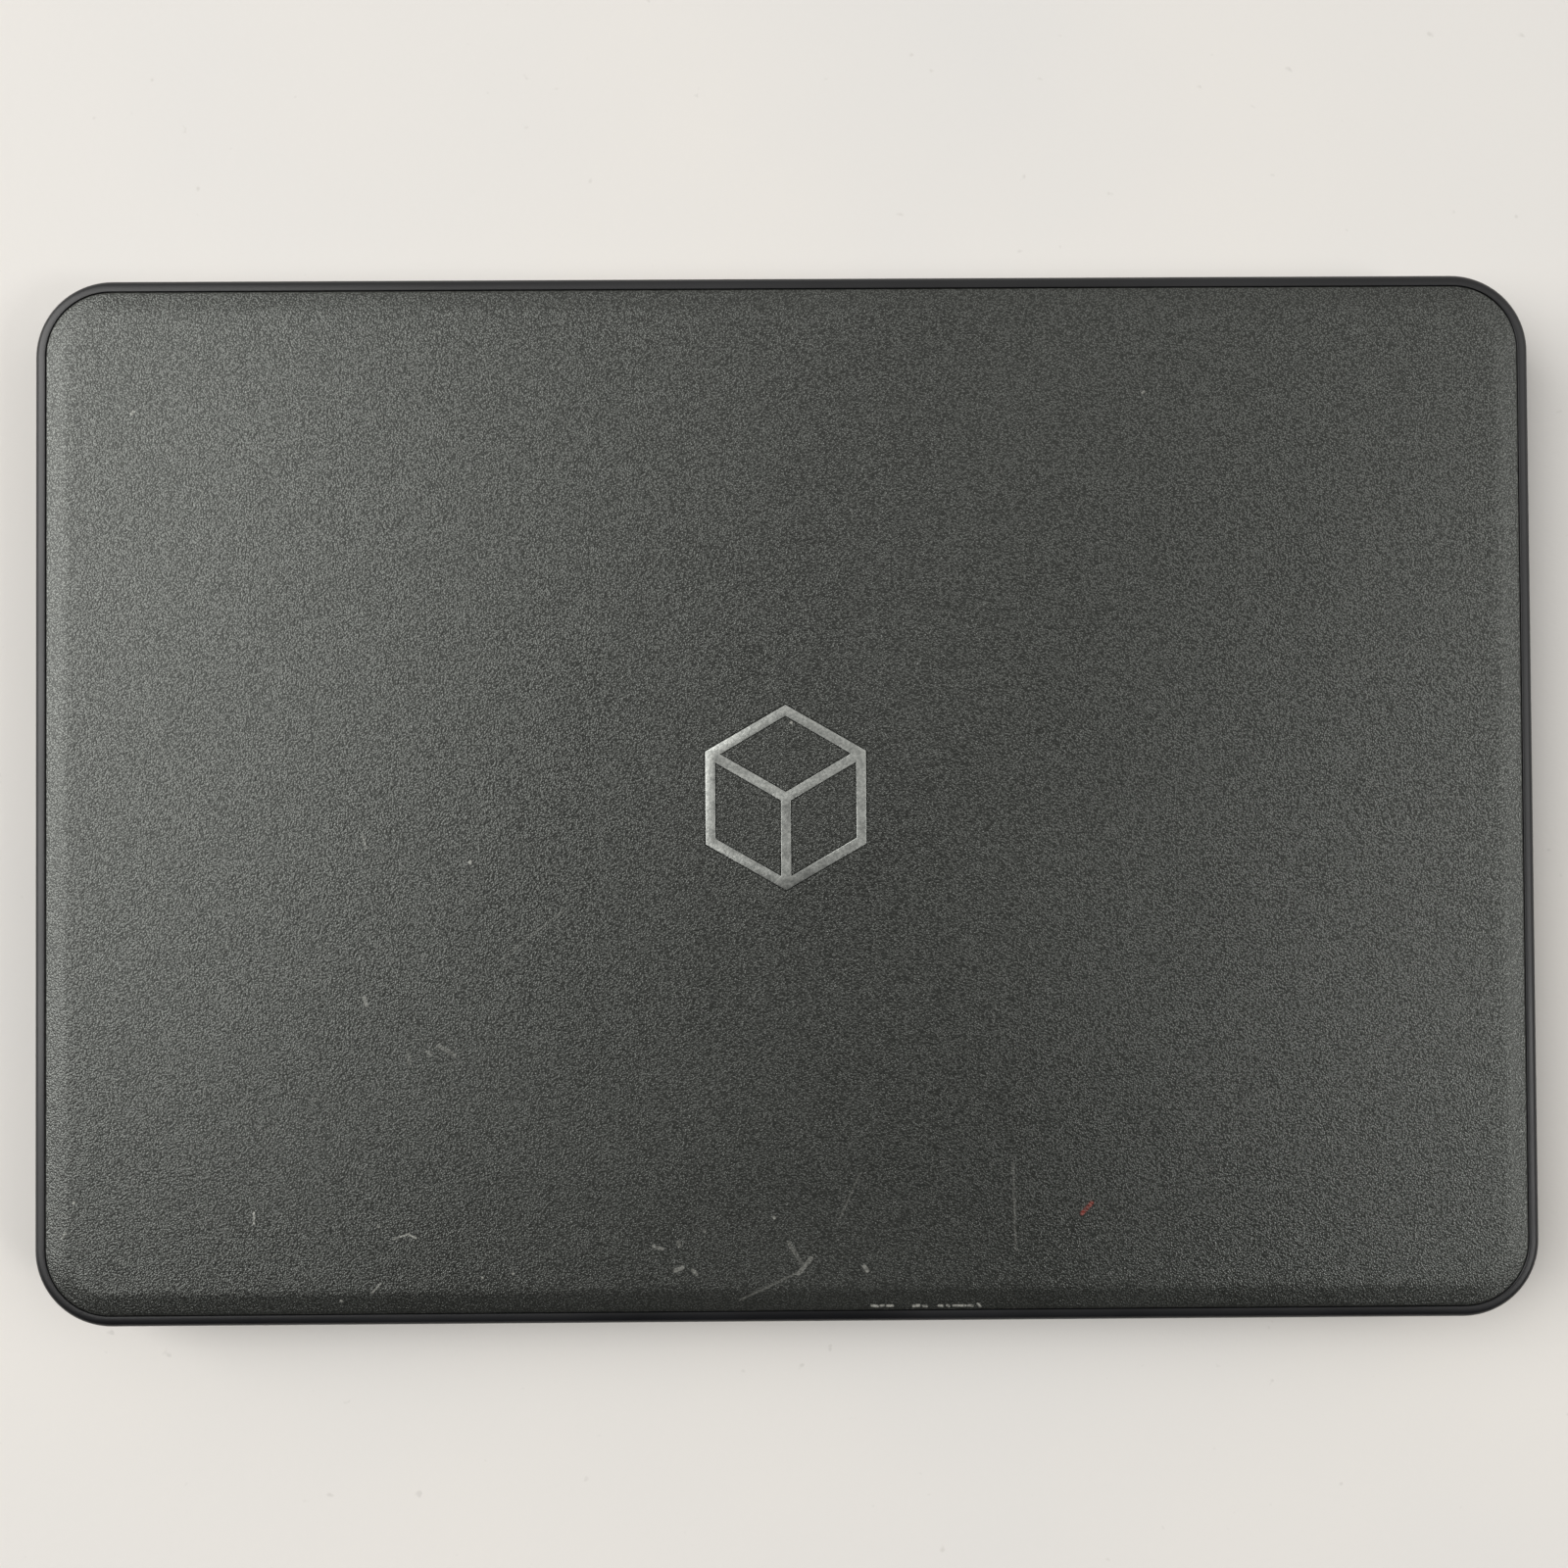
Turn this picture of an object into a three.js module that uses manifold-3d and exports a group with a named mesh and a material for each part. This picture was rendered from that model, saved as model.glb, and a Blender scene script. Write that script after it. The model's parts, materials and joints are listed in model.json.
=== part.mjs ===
// A 13.3-inch clamshell school laptop, closed, as an assembly of its separate pieces.
// Millimetres. +X is the user's right, +Y points from the user to the hinge, +Z is up.
// The origin is the centre of the footprint, on the table that the four feet stand on.
import * as THREE from "three";
import { mergeVertices } from "three/addons/utils/BufferGeometryUtils.js";
import Module from "manifold-3d";

const wasm = await Module();
wasm.setup();

// ---------------------------------------------------------------- driving dimensions
const WIDTH = 329.6; // overall width
const DEPTH = 229.6; // overall depth, set by the lid
const CORNER = 16.9; // corner radius of the lid outline
const LID_TOP = 20.8; // top of the lid's crown
const RIM_TOP = 19.85; // top of the rubber rim round the lid
const LID_BOTTOM = 13.4; // face of the display bezel when closed
const DECK = 12.8; // top face of the palmrest
const SHELL_SEAM = 5.2; // top edge of the bottom cover
const BASE_BOTTOM = 1.2; // underside of the bottom cover
const BASE_FLOOR = 2.8; // inside face of the bottom cover
const WALL = 2; // shell wall thickness
const DECK_PLATE = 1.6; // palmrest plate thickness
const RIM_WIDTH = 2.6; // rubber rim, seen from above
const FIT = 0.15; // gap between neighbouring pieces

const HINGE_Y = DEPTH / 2 - 5; // the lid overhangs its hinge axis by 5 mm
const HINGE_Z = 10.5;
const OVERHANG = DEPTH / 2 - HINGE_Y;
const BASE_BACK = HINGE_Y - OVERHANG - 0.5; // the lid's back edge swings down behind this wall
const KNUCKLE_RADIUS = 4.2; // plastic hinge covers on lid and base
const KNUCKLE_BORE = 3.5; // hollow inside them
const LIP_RADIUS = 2.3; // rounded lip of the palmrest between the hinges
const POCKET_RADIUS = 4.8; // room round the hinge covers in the lid
const LID_KNUCKLE = [110, 126]; // x range of the right hinge's lid half
const BASE_KNUCKLE = [127, 146]; // x range of its base half
const SHAFT_RADIUS = 2;
const SHAFT_BORE = 2.15;

const SCREEN_WIDTH = 293.8; // 13.3 inch, 16:9 active area
const SCREEN_HEIGHT = 165.2;
const SCREEN_FRONT = -95; // front edge of the active area, lid closed

const KEY_PITCH = 19;
const KEY_ROW_PITCH = 18.4;
const KEY_TOP_ROW_PITCH = 12;
const KEY_GAP = 3; // between neighbouring keycaps
const KEY_TAPER = 0.6; // each side of a cap leans in by this much
const KEY_UNDER = 10.6;
const KEY_TOP = 12.75;
const KEY_HOLE_GAP = 0.4;
const KEYS_WIDTH = 15 * KEY_PITCH;
const KEYS_FRONT = -13;
const KEYS_BACK = KEYS_FRONT + 5 * KEY_ROW_PITCH + KEY_TOP_ROW_PITCH;
const WELL_DEPTH = 1; // the keys sit in a well this deep
const LATTICE_BOTTOM = 10.6;

const TOUCHPAD = { x: -6, front: -95, back: -35, width: 100, radius: 3 };
const FAN = { x: 55, y: 65, half: 29.5, bottom: 2.95, top: 7.4 };
const BOARD_TOP = 7.3;
const BOARD_BOTTOM = 6.3;
const PORT_Z = 7.6; // height of the port centres
const PORT_FACE = WIDTH / 2 - 1.1; // ports stand just inside the side walls' outer faces
const BATTERY = { half: 108, front: -106, back: -33, bottom: 3, top: 8.8 };

const ARC_STEPS = 8; // segments in each quarter-round corner
const ROUND_STEPS = 16; // segments in a full circle

// ---------------------------------------------------------------- solids
// A closed three.js geometry as a manifold solid.
function solid(geometry) {
  const bare = geometry.clone();
  bare.deleteAttribute("normal");
  bare.deleteAttribute("uv");
  const merged = mergeVertices(bare, 1e-4);
  return new wasm.Manifold(
    new wasm.Mesh({
      numProp: 3,
      vertProperties: new Float32Array(merged.attributes.position.array),
      triVerts: new Uint32Array(merged.index.array),
    }),
  );
}

// A manifold solid back as a three.js geometry.
function geometryOf(body) {
  const mesh = body.getMesh();
  const points = new Float32Array(mesh.numVert * 3);
  for (let i = 0; i < mesh.numVert; i++) {
    const from = i * mesh.numProp;
    points.set(mesh.vertProperties.subarray(from, from + 3), i * 3);
  }
  return new THREE.BufferGeometry()
    .setAttribute("position", new THREE.BufferAttribute(points, 3))
    .setIndex(new THREE.BufferAttribute(new Uint32Array(mesh.triVerts), 1));
}

function box(x0, x1, y0, y1, z0, z1) {
  const shape = new THREE.BoxGeometry(x1 - x0, y1 - y0, z1 - z0);
  shape.translate((x0 + x1) / 2, (y0 + y1) / 2, (z0 + z1) / 2);
  return solid(shape);
}

// A round bar along X.
function rodX(y, z, radius, x0, x1, steps = ROUND_STEPS) {
  const shape = new THREE.CylinderGeometry(radius, radius, x1 - x0, steps);
  shape.rotateZ(Math.PI / 2);
  shape.translate((x0 + x1) / 2, y, z);
  return solid(shape);
}

// A round bar along Z.
function rodZ(x, y, radius, z0, z1, steps = ROUND_STEPS) {
  const shape = new THREE.CylinderGeometry(radius, radius, z1 - z0, steps);
  shape.rotateX(Math.PI / 2);
  shape.translate(x, y, (z0 + z1) / 2);
  return solid(shape);
}

// A flat shape given thickness along Z.
function plate(shape, z0, z1, curveSegments = ARC_STEPS) {
  const made = new THREE.ExtrudeGeometry(shape, {
    depth: z1 - z0,
    bevelEnabled: false,
    curveSegments,
  });
  made.translate(0, 0, z0);
  return solid(made);
}

function union(bodies) {
  return bodies.reduce((sum, body) => sum.add(body));
}

function cut(body, tools) {
  return tools.reduce((left, tool) => left.subtract(tool), body);
}

// Corner points of a rounded rectangle, anticlockwise, always the same count.
function outline({ x0, x1, y0, y1, front, back }, inset = 0) {
  const corners = [
    [x1, y1, back, 0],
    [x0, y1, back, 90],
    [x0, y0, front, 180],
    [x1, y0, front, 270],
  ];
  return corners.flatMap(([x, y, radius, start]) => {
    const r = Math.max(radius - inset, 0.5);
    const centreX = x - Math.sign(x) * (inset + r);
    const centreY = y === y1 ? y1 - inset - r : y0 + inset + r;
    return Array.from({ length: ARC_STEPS + 1 }, (_, step) => {
      const angle = THREE.MathUtils.degToRad(start + (90 * step) / ARC_STEPS);
      return [centreX + r * Math.cos(angle), centreY + r * Math.sin(angle)];
    });
  });
}

// A solid through rings of points. Open ends get flat caps; a closed loop of rings is a hoop.
function loft(rings, hoop = false) {
  const count = rings[0].length;
  const points = rings.flat(2);
  const faces = [];
  const spans = hoop ? rings.length : rings.length - 1;
  for (let ring = 0; ring < spans; ring++) {
    const lower = ring * count;
    const upper = ((ring + 1) % rings.length) * count;
    for (let i = 0; i < count; i++) {
      const next = (i + 1) % count;
      faces.push(lower + i, lower + next, upper + next);
      faces.push(lower + i, upper + next, upper + i);
    }
  }
  if (!hoop) {
    const last = (rings.length - 1) * count;
    for (let i = 1; i < count - 1; i++) {
      faces.push(0, i + 1, i);
      faces.push(last, last + i, last + i + 1);
    }
  }
  return solid(
    new THREE.BufferGeometry()
      .setAttribute("position", new THREE.Float32BufferAttribute(points, 3))
      .setIndex(faces),
  );
}

// Rings of one outline: profile lists [inset from the outline, height].
function slab(area, profile, hoop = false) {
  const rings = profile.map(([inset, z]) =>
    outline(area, inset).map(([x, y]) => [x, y, z]),
  );
  return loft(rings, hoop);
}

function roundedShape(x, y, width, height, radius) {
  const shape = new THREE.Shape();
  const [w, h] = [width / 2 - radius, height / 2 - radius];
  shape.absarc(x + w, y + h, radius, 0, Math.PI / 2);
  shape.absarc(x - w, y + h, radius, Math.PI / 2, Math.PI);
  shape.absarc(x - w, y - h, radius, Math.PI, Math.PI * 1.5);
  shape.absarc(x + w, y - h, radius, Math.PI * 1.5, Math.PI * 2);
  return shape;
}

const lidArea = {
  x0: -WIDTH / 2,
  x1: WIDTH / 2,
  y0: -DEPTH / 2,
  y1: DEPTH / 2,
  front: CORNER,
  back: CORNER,
};
const baseArea = { ...lidArea, y1: BASE_BACK + 0.6, back: 12 };

// An interval of x on the right-hand side, grown at both ends, or its mirror on the left.
function spanX([inner, outer], side, grow = 0) {
  const ends = [(inner - grow) * side, (outer + grow) * side];
  return [Math.min(...ends), Math.max(...ends)];
}

// Spots given for the right-hand side, and their mirror images.
function bothSides(spots) {
  return spots.flatMap(([x, y]) => [
    [x, y],
    [-x, y],
  ]);
}

// ---------------------------------------------------------------- materials
function material(color, roughness, metalness = 0) {
  return new THREE.MeshStandardMaterial({ color, roughness, metalness });
}

const finish = {
  lid: material("#4c4d4b", 0.62),
  rim: material("#26282a", 0.8),
  silver: material("#a3a7a2", 0.35, 0.9),
  shell: material("#2b2c2e", 0.65),
  bezel: material("#1d1e20", 0.6),
  screen: material("#0b0c0e", 0.12),
  key: material("#191a1c", 0.55),
  touch: material("#2a2b2d", 0.4),
  rubber: material("#161718", 0.85),
  steel: material("#8f9396", 0.35, 0.9),
  darkSteel: material("#3b3d40", 0.4, 0.8),
  copper: material("#b5673e", 0.3, 0.9),
  board: material("#17442f", 0.5),
  cell: material("#202124", 0.45),
  port: material("#b9bcbf", 0.3, 0.9),
  portBlack: material("#101113", 0.5),
  ribbon: material("#d8d9d6", 0.5),
};

// ---------------------------------------------------------------- assembly
const laptop = new THREE.Group();
const base = new THREE.Group();
const lid = new THREE.Group();
laptop.add(base, lid);

function place(group, name, body, look, position = [0, 0, 0]) {
  const mesh = new THREE.Mesh(geometryOf(body), look);
  mesh.name = name;
  mesh.position.set(...position);
  group.add(mesh);
  return mesh;
}

// The right-hand piece as modelled, and its mirror image on the left.
function placePair(group, name, body, look) {
  place(group, `${name}_right`, body, look);
  place(group, `${name}_left`, body, look).scale.x = -1;
}

// ---------------------------------------------------------------- keyboard layout
// Widths in key units, back row to front row.
const FUNCTION_KEYS = 16; // the last one is the power button
const keyRows = [
  Array(FUNCTION_KEYS).fill(15 / FUNCTION_KEYS),
  [...Array(13).fill(1), 2],
  [1.5, ...Array(12).fill(1), 1.5],
  [1.75, ...Array(11).fill(1), 2.25],
  [2.25, ...Array(10).fill(1), 2.75],
  [1.25, 1, 1, 1, 5.5, 1, 1.25, 1, 1, 1],
];
const ARROW_COLUMNS = [7, 8, 9];
const ARROW_HEIGHT = 6.7;
const movingKeys = {
  "3:12": "enter_key",
  "5:4": "space_bar",
  "5:7:front": "arrow_left_key",
  "5:8:back": "arrow_up_key",
  "5:8:front": "arrow_down_key",
  "5:9:front": "arrow_right_key",
  "0:15": "power_button",
};

function keyLayout() {
  const keys = [];
  keyRows.forEach((widths, row) => {
    const tall = row === 0 ? KEY_TOP_ROW_PITCH : KEY_ROW_PITCH;
    const y = row === 0 ? KEYS_BACK - tall / 2 : KEYS_FRONT + (5.5 - row) * tall;
    let x = -KEYS_WIDTH / 2;
    widths.forEach((units, column) => {
      const width = units * KEY_PITCH;
      const key = { x: x + width / 2, y, w: width - KEY_GAP, h: tall - KEY_GAP };
      const label = `${row}:${column}`;
      if (row === 5 && ARROW_COLUMNS.includes(column)) {
        const shift = (key.h - ARROW_HEIGHT) / 2;
        const half = { ...key, h: ARROW_HEIGHT };
        keys.push({ ...half, y: y + shift, label: `${label}:back` });
        keys.push({ ...half, y: y - shift, label: `${label}:front` });
      } else {
        keys.push({ ...key, label });
      }
      x += width;
    });
  });
  return keys;
}

const keys = keyLayout();

// A keycap about its own centre, tapering upwards, with its underside at z 0.
function keycap({ w, h }, height = KEY_TOP - KEY_UNDER) {
  const ring = (inset, z) =>
    [
      [1, 1],
      [-1, 1],
      [-1, -1],
      [1, -1],
    ].map(([sx, sy]) => [sx * (w / 2 - inset), sy * (h / 2 - inset), z]);
  return loft([ring(0, 0), ring(KEY_TAPER, height)]);
}

function keyHole(key) {
  const [w, h] = [key.w / 2 + KEY_HOLE_GAP, key.h / 2 + KEY_HOLE_GAP];
  return box(key.x - w, key.x + w, key.y - h, key.y + h, 10, DECK + 1);
}

// ---------------------------------------------------------------- lid
// Both hinges' pockets: round channels about the hinge axis, cut from every lid shell.
const hingePockets = [-1, 1].map((side) => {
  const span = spanX([LID_KNUCKLE[0], BASE_KNUCKLE[1]], side, 0.4);
  return rodX(HINGE_Y, HINGE_Z, POCKET_RADIUS, ...span);
});

// Hexagon badge with three spokes, a plain cube outline.
const BADGE_RADIUS = 20.35;
const BADGE_STROKE = 2.2;
const BADGE_DEPTH = 0.4;

function hexagon(radius) {
  const corner = (i) => {
    const angle = THREE.MathUtils.degToRad(90 + 60 * i);
    return new THREE.Vector2(radius * Math.cos(angle), radius * Math.sin(angle));
  };
  return Array.from({ length: 6 }, (_, i) => corner(i));
}

function badge() {
  const inner = hexagon(BADGE_RADIUS - BADGE_STROKE / Math.cos(Math.PI / 6));
  const reach = inner[0].length() * Math.sin(Math.PI / 3);
  const shrink = 1 - BADGE_STROKE / 2 / reach;
  const windows = [0, 2, 4].map((k) => {
    const fixed = inner[k + 1];
    const quad = [inner[k], fixed, inner[(k + 2) % 6], new THREE.Vector2(0, 0)];
    const window = quad.map((p) => p.clone().sub(fixed).multiplyScalar(shrink).add(fixed));
    return plate(new THREE.Shape(window), -1, 2);
  });
  return cut(plate(new THREE.Shape(hexagon(BADGE_RADIUS)), 0, BADGE_DEPTH), windows);
}

function lidBackCover() {
  const side = RIM_WIDTH + FIT;
  const shell = slab(lidArea, [
    [side, 14.35],
    [side, 19.5],
    [side + 0.6, 20],
    [6.5, 20.36],
    [14, 20.68],
    [40, LID_TOP],
  ]);
  const hollow = slab(lidArea, [
    [side + 1.9, 14],
    [side + 1.9, 18.6],
    [side + 3, 19],
  ]);
  const recess = plate(
    new THREE.Shape(hexagon(BADGE_RADIUS + FIT)),
    LID_TOP - BADGE_DEPTH - 0.05,
    LID_TOP + 1,
  );
  return cut(shell, [hollow, recess, ...hingePockets]);
}

function lidRim() {
  const hoop = slab(
    lidArea,
    [
      [RIM_WIDTH, 13.6],
      [0.6, 13.6],
      [0, 14.6],
      [0, 17.8],
      [0.4, 19.2],
      [1.3, 19.75],
      [RIM_WIDTH, RIM_TOP],
    ],
    true,
  );
  return cut(hoop, hingePockets);
}

const screenBack = SCREEN_FRONT + SCREEN_HEIGHT;
const CAMERA_Y = -105.5;

function displayBezel() {
  const face = slab(lidArea, [
    [RIM_WIDTH + 0.55, LID_BOTTOM],
    [RIM_WIDTH + FIT, LID_BOTTOM + 0.4],
    [RIM_WIDTH + FIT, LID_BOTTOM + 0.85],
  ]);
  const middle = (SCREEN_FRONT + screenBack) / 2;
  const window = plate(
    roundedShape(0, middle, SCREEN_WIDTH + 1, SCREEN_HEIGHT + 1, 1),
    LID_BOTTOM - 1,
    LID_BOTTOM + 2,
    2,
  );
  const lens = rodZ(0, CAMERA_Y, 2.2, LID_BOTTOM - 1, LID_BOTTOM + 2);
  const [slotFront, slotBack] = [HINGE_Y - 3.6, HINGE_Y + 0.4];
  const armSlots = [-1, 1].map((side) =>
    box(...spanX(LID_KNUCKLE, side), slotFront, slotBack, LID_BOTTOM - 1, LID_BOTTOM + 2),
  );
  return cut(face, [window, lens, ...armSlots, ...hingePockets]);
}

// The display module: a thin panel with its driver strip along the hinge side.
function lcdPanel() {
  const [half, border] = [152.4, 6.4];
  const panel = box(-half, half, SCREEN_FRONT - border, screenBack + border, 14.35, 17.4);
  const strip = box(-130, 130, screenBack + border - 1, screenBack + border + 8, 14.6, 15.8);
  return panel.add(strip);
}

function cameraModule() {
  const board = box(-32, 32, CAMERA_Y - 3, CAMERA_Y + 3, 15.2, 16);
  const body = box(-4, 4, CAMERA_Y - 3, CAMERA_Y + 3, 14.4, 15.4);
  const barrel = rodZ(0, CAMERA_Y, 1.9, 13.75, 14.6);
  return union([board, body, barrel]);
}

// A flat cable through points, its width lying level.
function ribbon(points, width, thick) {
  const path = new THREE.CatmullRomCurve3(points.map((p) => new THREE.Vector3(...p)));
  const rings = path.getPoints(8).map(({ x, y, z }, i) => {
    const along = path.getTangent(i / 8);
    const across = new THREE.Vector2(-along.y, along.x).setLength(width / 2);
    const edge = (sign, dz) => [x + sign * across.x, y + sign * across.y, z + dz];
    const half = thick / 2;
    return [edge(1, -half), edge(1, half), edge(-1, half), edge(-1, -half)];
  });
  return loft(rings);
}

function displayCable() {
  const run = ribbon(
    [
      [-20, 87.5, 17.6],
      [-50, 88, 17.9],
      [-80, 94, 17.9],
      [-104, 104, 17.9],
    ],
    3.2,
    0.8,
  );
  const plug = box(-36, -16, 86, 91, 16.9, 18.3);
  return run.add(plug);
}

function antenna() {
  return box(70, 128, -108.6, -103, 14.6, 15.4).add(box(70, 80, -108.6, -103, 15.3, 16.6));
}

// ---------------------------------------------------------------- hinges, right side
const hubX = [LID_KNUCKLE[0] + 3, LID_KNUCKLE[1] - 3];
const ARM = { bottom: 16, top: 17.2, footFront: 86, stripFront: 10, stripBack: 100 };

// Rotates with the lid: hub on the shaft, upright, foot and long side strip.
function hingeArm() {
  const hub = rodX(HINGE_Y, HINGE_Z, 3.2, ...hubX);
  const upright = box(...hubX, HINGE_Y - 2.2, HINGE_Y, HINGE_Z, ARM.top);
  const foot = box(hubX[0], 149.5, ARM.footFront, HINGE_Y - 1, ARM.bottom, ARM.top);
  const bridge = box(149, 154, ARM.footFront, ARM.stripBack, ARM.bottom, ARM.top);
  const strip = box(153.2, 159, ARM.stripFront, ARM.stripBack, ARM.bottom, ARM.top);
  const bore = rodX(HINGE_Y, HINGE_Z, SHAFT_BORE, hubX[0] - 1, hubX[1] + 1);
  const holes = [20, 48, 78].map((y) => rodZ(156.2, y, 1.3, 15, 18, 8));
  return cut(union([hub, upright, foot, bridge, strip]), [bore, ...holes]);
}

function hingeShaft() {
  const pin = rodX(HINGE_Y, HINGE_Z, SHAFT_RADIUS, hubX[0] - 0.8, BASE_KNUCKLE[1] - 2.4);
  const head = rodX(HINGE_Y, HINGE_Z, 2.8, hubX[0] - 1.6, hubX[0] - 0.4);
  return pin.add(head);
}

// Fixed to the palmrest: friction barrel round the shaft, and an L-shaped leaf.
function hingeBase() {
  const barrelX = [BASE_KNUCKLE[0] + 0.6, BASE_KNUCKLE[1] - 3];
  const barrel = rodX(HINGE_Y, HINGE_Z, 3.2, ...barrelX);
  const neck = box(...barrelX, 95.5, HINGE_Y - 1.5, 9.7, 10.9);
  const leaf = box(112, 154, 95.5, 101.6, 9.7, 10.9);
  const side = box(148.6, 159.5, 74, 97, 9.7, 10.9);
  const bore = rodX(HINGE_Y, HINGE_Z, SHAFT_BORE, barrelX[0] - 1, barrelX[1] + 1);
  const holes = [
    [116, 98.8],
    [151, 98.8],
    [154.5, 79],
  ].map(([x, y]) => rodZ(x, y, 1.3, 9, 12, 8));
  return cut(union([barrel, neck, leaf, side]), [bore, ...holes]);
}

// Clips into the lid and hides the arm's hub.
function hingeCover() {
  const round = rodX(HINGE_Y, HINGE_Z, KNUCKLE_RADIUS, ...LID_KNUCKLE);
  const neckX = spanX(LID_KNUCKLE, 1, -0.4);
  const neck = box(...neckX, HINGE_Y - 3.4, HINGE_Y + 0.2, 12, 15.4);
  const hollow = rodX(HINGE_Y, HINGE_Z, KNUCKLE_BORE, LID_KNUCKLE[0] + 1, LID_KNUCKLE[1] + 1);
  const chimney = box(...spanX(hubX, 1, 0.3), HINGE_Y - 2.5, HINGE_Y + 1, HINGE_Z, 17);
  return cut(union([round, neck]), [hollow, chimney]);
}

// ---------------------------------------------------------------- base shells
const screwSpots = [
  [140, -106.5],
  [113.4, -28.5],
  [98, 98],
];
const SCREW = { head: 2.9, headHeight: 0.75, shank: 1.2, seat: 2.1, tip: 9.2, boss: 2.9 };

// Openings in the side walls: y range, z range, on one side.
const openings = [
  { side: -1, y: [55.75, 63.25], z: [3.85, 11.35], round: true }, // power inlet
  { side: -1, y: [35.3, 50.7], z: [1.9, 11.15], reach: 149.6 }, // network, let into the floor
  { side: -1, y: [12.3, 27.7], z: [4.6, 10.6] }, // monitor
  { side: -1, y: [-6.75, 6.75], z: [4.55, 10.65] }, // wide data port
  { side: -1, y: [-22.7, -13.3], z: [5.8, 9.4] }, // small data port
  { side: 1, y: [33.25, 46.75], z: [4.55, 10.65] }, // wide data port
  { side: 1, y: [14.6, 21.4], z: [4.2, 11], round: true }, // headset
  { side: 1, y: [-10.3, 2.3], z: [7.55, 8.65] }, // memory card slot
  { side: 1, y: [57, 64], z: [6, 9.2] }, // lock slot
];

function openingTool({ side, y, z, round, reach = 161 }) {
  const [x0, x1] = side > 0 ? [reach, 166] : [-166, -reach];
  const middle = [(y[0] + y[1]) / 2, (z[0] + z[1]) / 2];
  if (round) return rodX(...middle, (y[1] - y[0]) / 2, x0, x1);
  return box(x0, x1, ...y, ...z);
}

const ventSlots = Array.from({ length: 15 }, (_, i) => {
  const x = FAN.x - 26.25 + i * 3.75;
  return box(x - 1.1, x + 1.1, BASE_BACK - 4, BASE_BACK + 2, 3.5, 7.3);
});

function palmrestShell() {
  const shell = slab(baseArea, [
    [0.6, SHELL_SEAM + FIT],
    [0.5, 9],
    [0.7, 12.2],
    [1.2, DECK],
  ]);
  const hollow = slab(baseArea, [
    [0.6 + WALL, SHELL_SEAM - 1],
    [0.6 + WALL, DECK - DECK_PLATE],
  ]);
  return shell.subtract(hollow);
}

// The keys sit in a well, and each drops through its own hole in the lattice at its bottom.
function cutKeyWell(body) {
  const half = KEYS_WIDTH / 2 + 0.5;
  const [front, back] = [KEYS_FRONT - 0.5, KEYS_BACK + 0.5];
  const lattice = box(-half - 2, half + 2, front - 2, back + 2, LATTICE_BOTTOM, DECK - 0.5);
  const rim = roundedShape(0, (front + back) / 2, 2 * half, back - front, 3);
  const well = plate(rim, DECK - WELL_DEPTH, DECK + 1, 4);
  return cut(body.add(lattice), [well, ...keys.map(keyHole)]);
}

function touchpadHole() {
  const { x, front, back, width, radius } = TOUCHPAD;
  const opening = roundedShape(x, (front + back) / 2, width + 0.8, back - front + 0.8, radius);
  return plate(opening, DECK - 3, DECK + 1, 4);
}

// One hinge seat in the lip: a gap for the lid's knuckle, and the base's own hollow knuckle.
function addHingeSeat(body, side) {
  const [back, front] = [HINGE_Y + 6, HINGE_Y - 5.2];
  const lidGap = box(...spanX(LID_KNUCKLE, side, 0.5), front, back, 0, DECK + 4);
  const knuckle = rodX(HINGE_Y, HINGE_Z, KNUCKLE_RADIUS, ...spanX(BASE_KNUCKLE, side));
  const inside = [BASE_KNUCKLE[0] - 1, BASE_KNUCKLE[1] - 1.2];
  const bore = rodX(HINGE_Y, HINGE_Z, KNUCKLE_BORE, ...spanX(inside, side));
  const leafSlot = box(...spanX(inside, side, -0.4), 100, HINGE_Y, 9.4, 11.1);
  return cut(body.subtract(lidGap).add(knuckle), [bore, leafSlot]);
}

function palmrestCover() {
  const lip = box(-150, 150, BASE_BACK - 1, HINGE_Y, HINGE_Z - LIP_RADIUS, DECK);
  const nose = rodX(HINGE_Y, HINGE_Z, LIP_RADIUS, -150, 150);
  const bosses = bothSides(screwSpots).map(([x, y]) =>
    rodZ(x, y, SCREW.boss, SHELL_SEAM + FIT, DECK - DECK_PLATE + 0.3, 8),
  );
  const bores = bothSides(screwSpots).map(([x, y]) =>
    rodZ(x, y, SCREW.shank + 0.3, 0, SCREW.tip + 0.4, 8),
  );
  let body = cutKeyWell(palmrestShell()).subtract(touchpadHole());
  body = union([body, lip, nose, ...bosses]);
  body = addHingeSeat(addHingeSeat(body, 1), -1);
  return cut(body, [...bores, ...openings.map(openingTool), ...ventSlots]);
}

const footSpots = [
  { name: "front", x: 104, y: -98, length: 40 },
  { name: "rear", x: 112, y: 88, length: 62 },
];
const FOOT = { width: 9, top: 1.85 };

const GRILLE = { first: 134, pitch: 3, slots: 6, front: -88, back: -66 };
const INTAKE = { radius: 24, pitch: 4, slots: 11 };

function intakeSlots() {
  return Array.from({ length: INTAKE.slots }, (_, i) => {
    const offset = (i - (INTAKE.slots - 1) / 2) * INTAKE.pitch;
    const reach = Math.sqrt(INTAKE.radius ** 2 - offset ** 2);
    const y = FAN.y + offset;
    return box(FAN.x - reach, FAN.x + reach, y - 0.9, y + 0.9, 0, BASE_FLOOR + 1);
  });
}

function speakerGrille(side) {
  return Array.from({ length: GRILLE.slots }, (_, i) => {
    const x = (GRILLE.first + i * GRILLE.pitch) * side;
    return box(x - 0.7, x + 0.7, GRILLE.front, GRILLE.back, 0, BASE_FLOOR + 1);
  });
}

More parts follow.
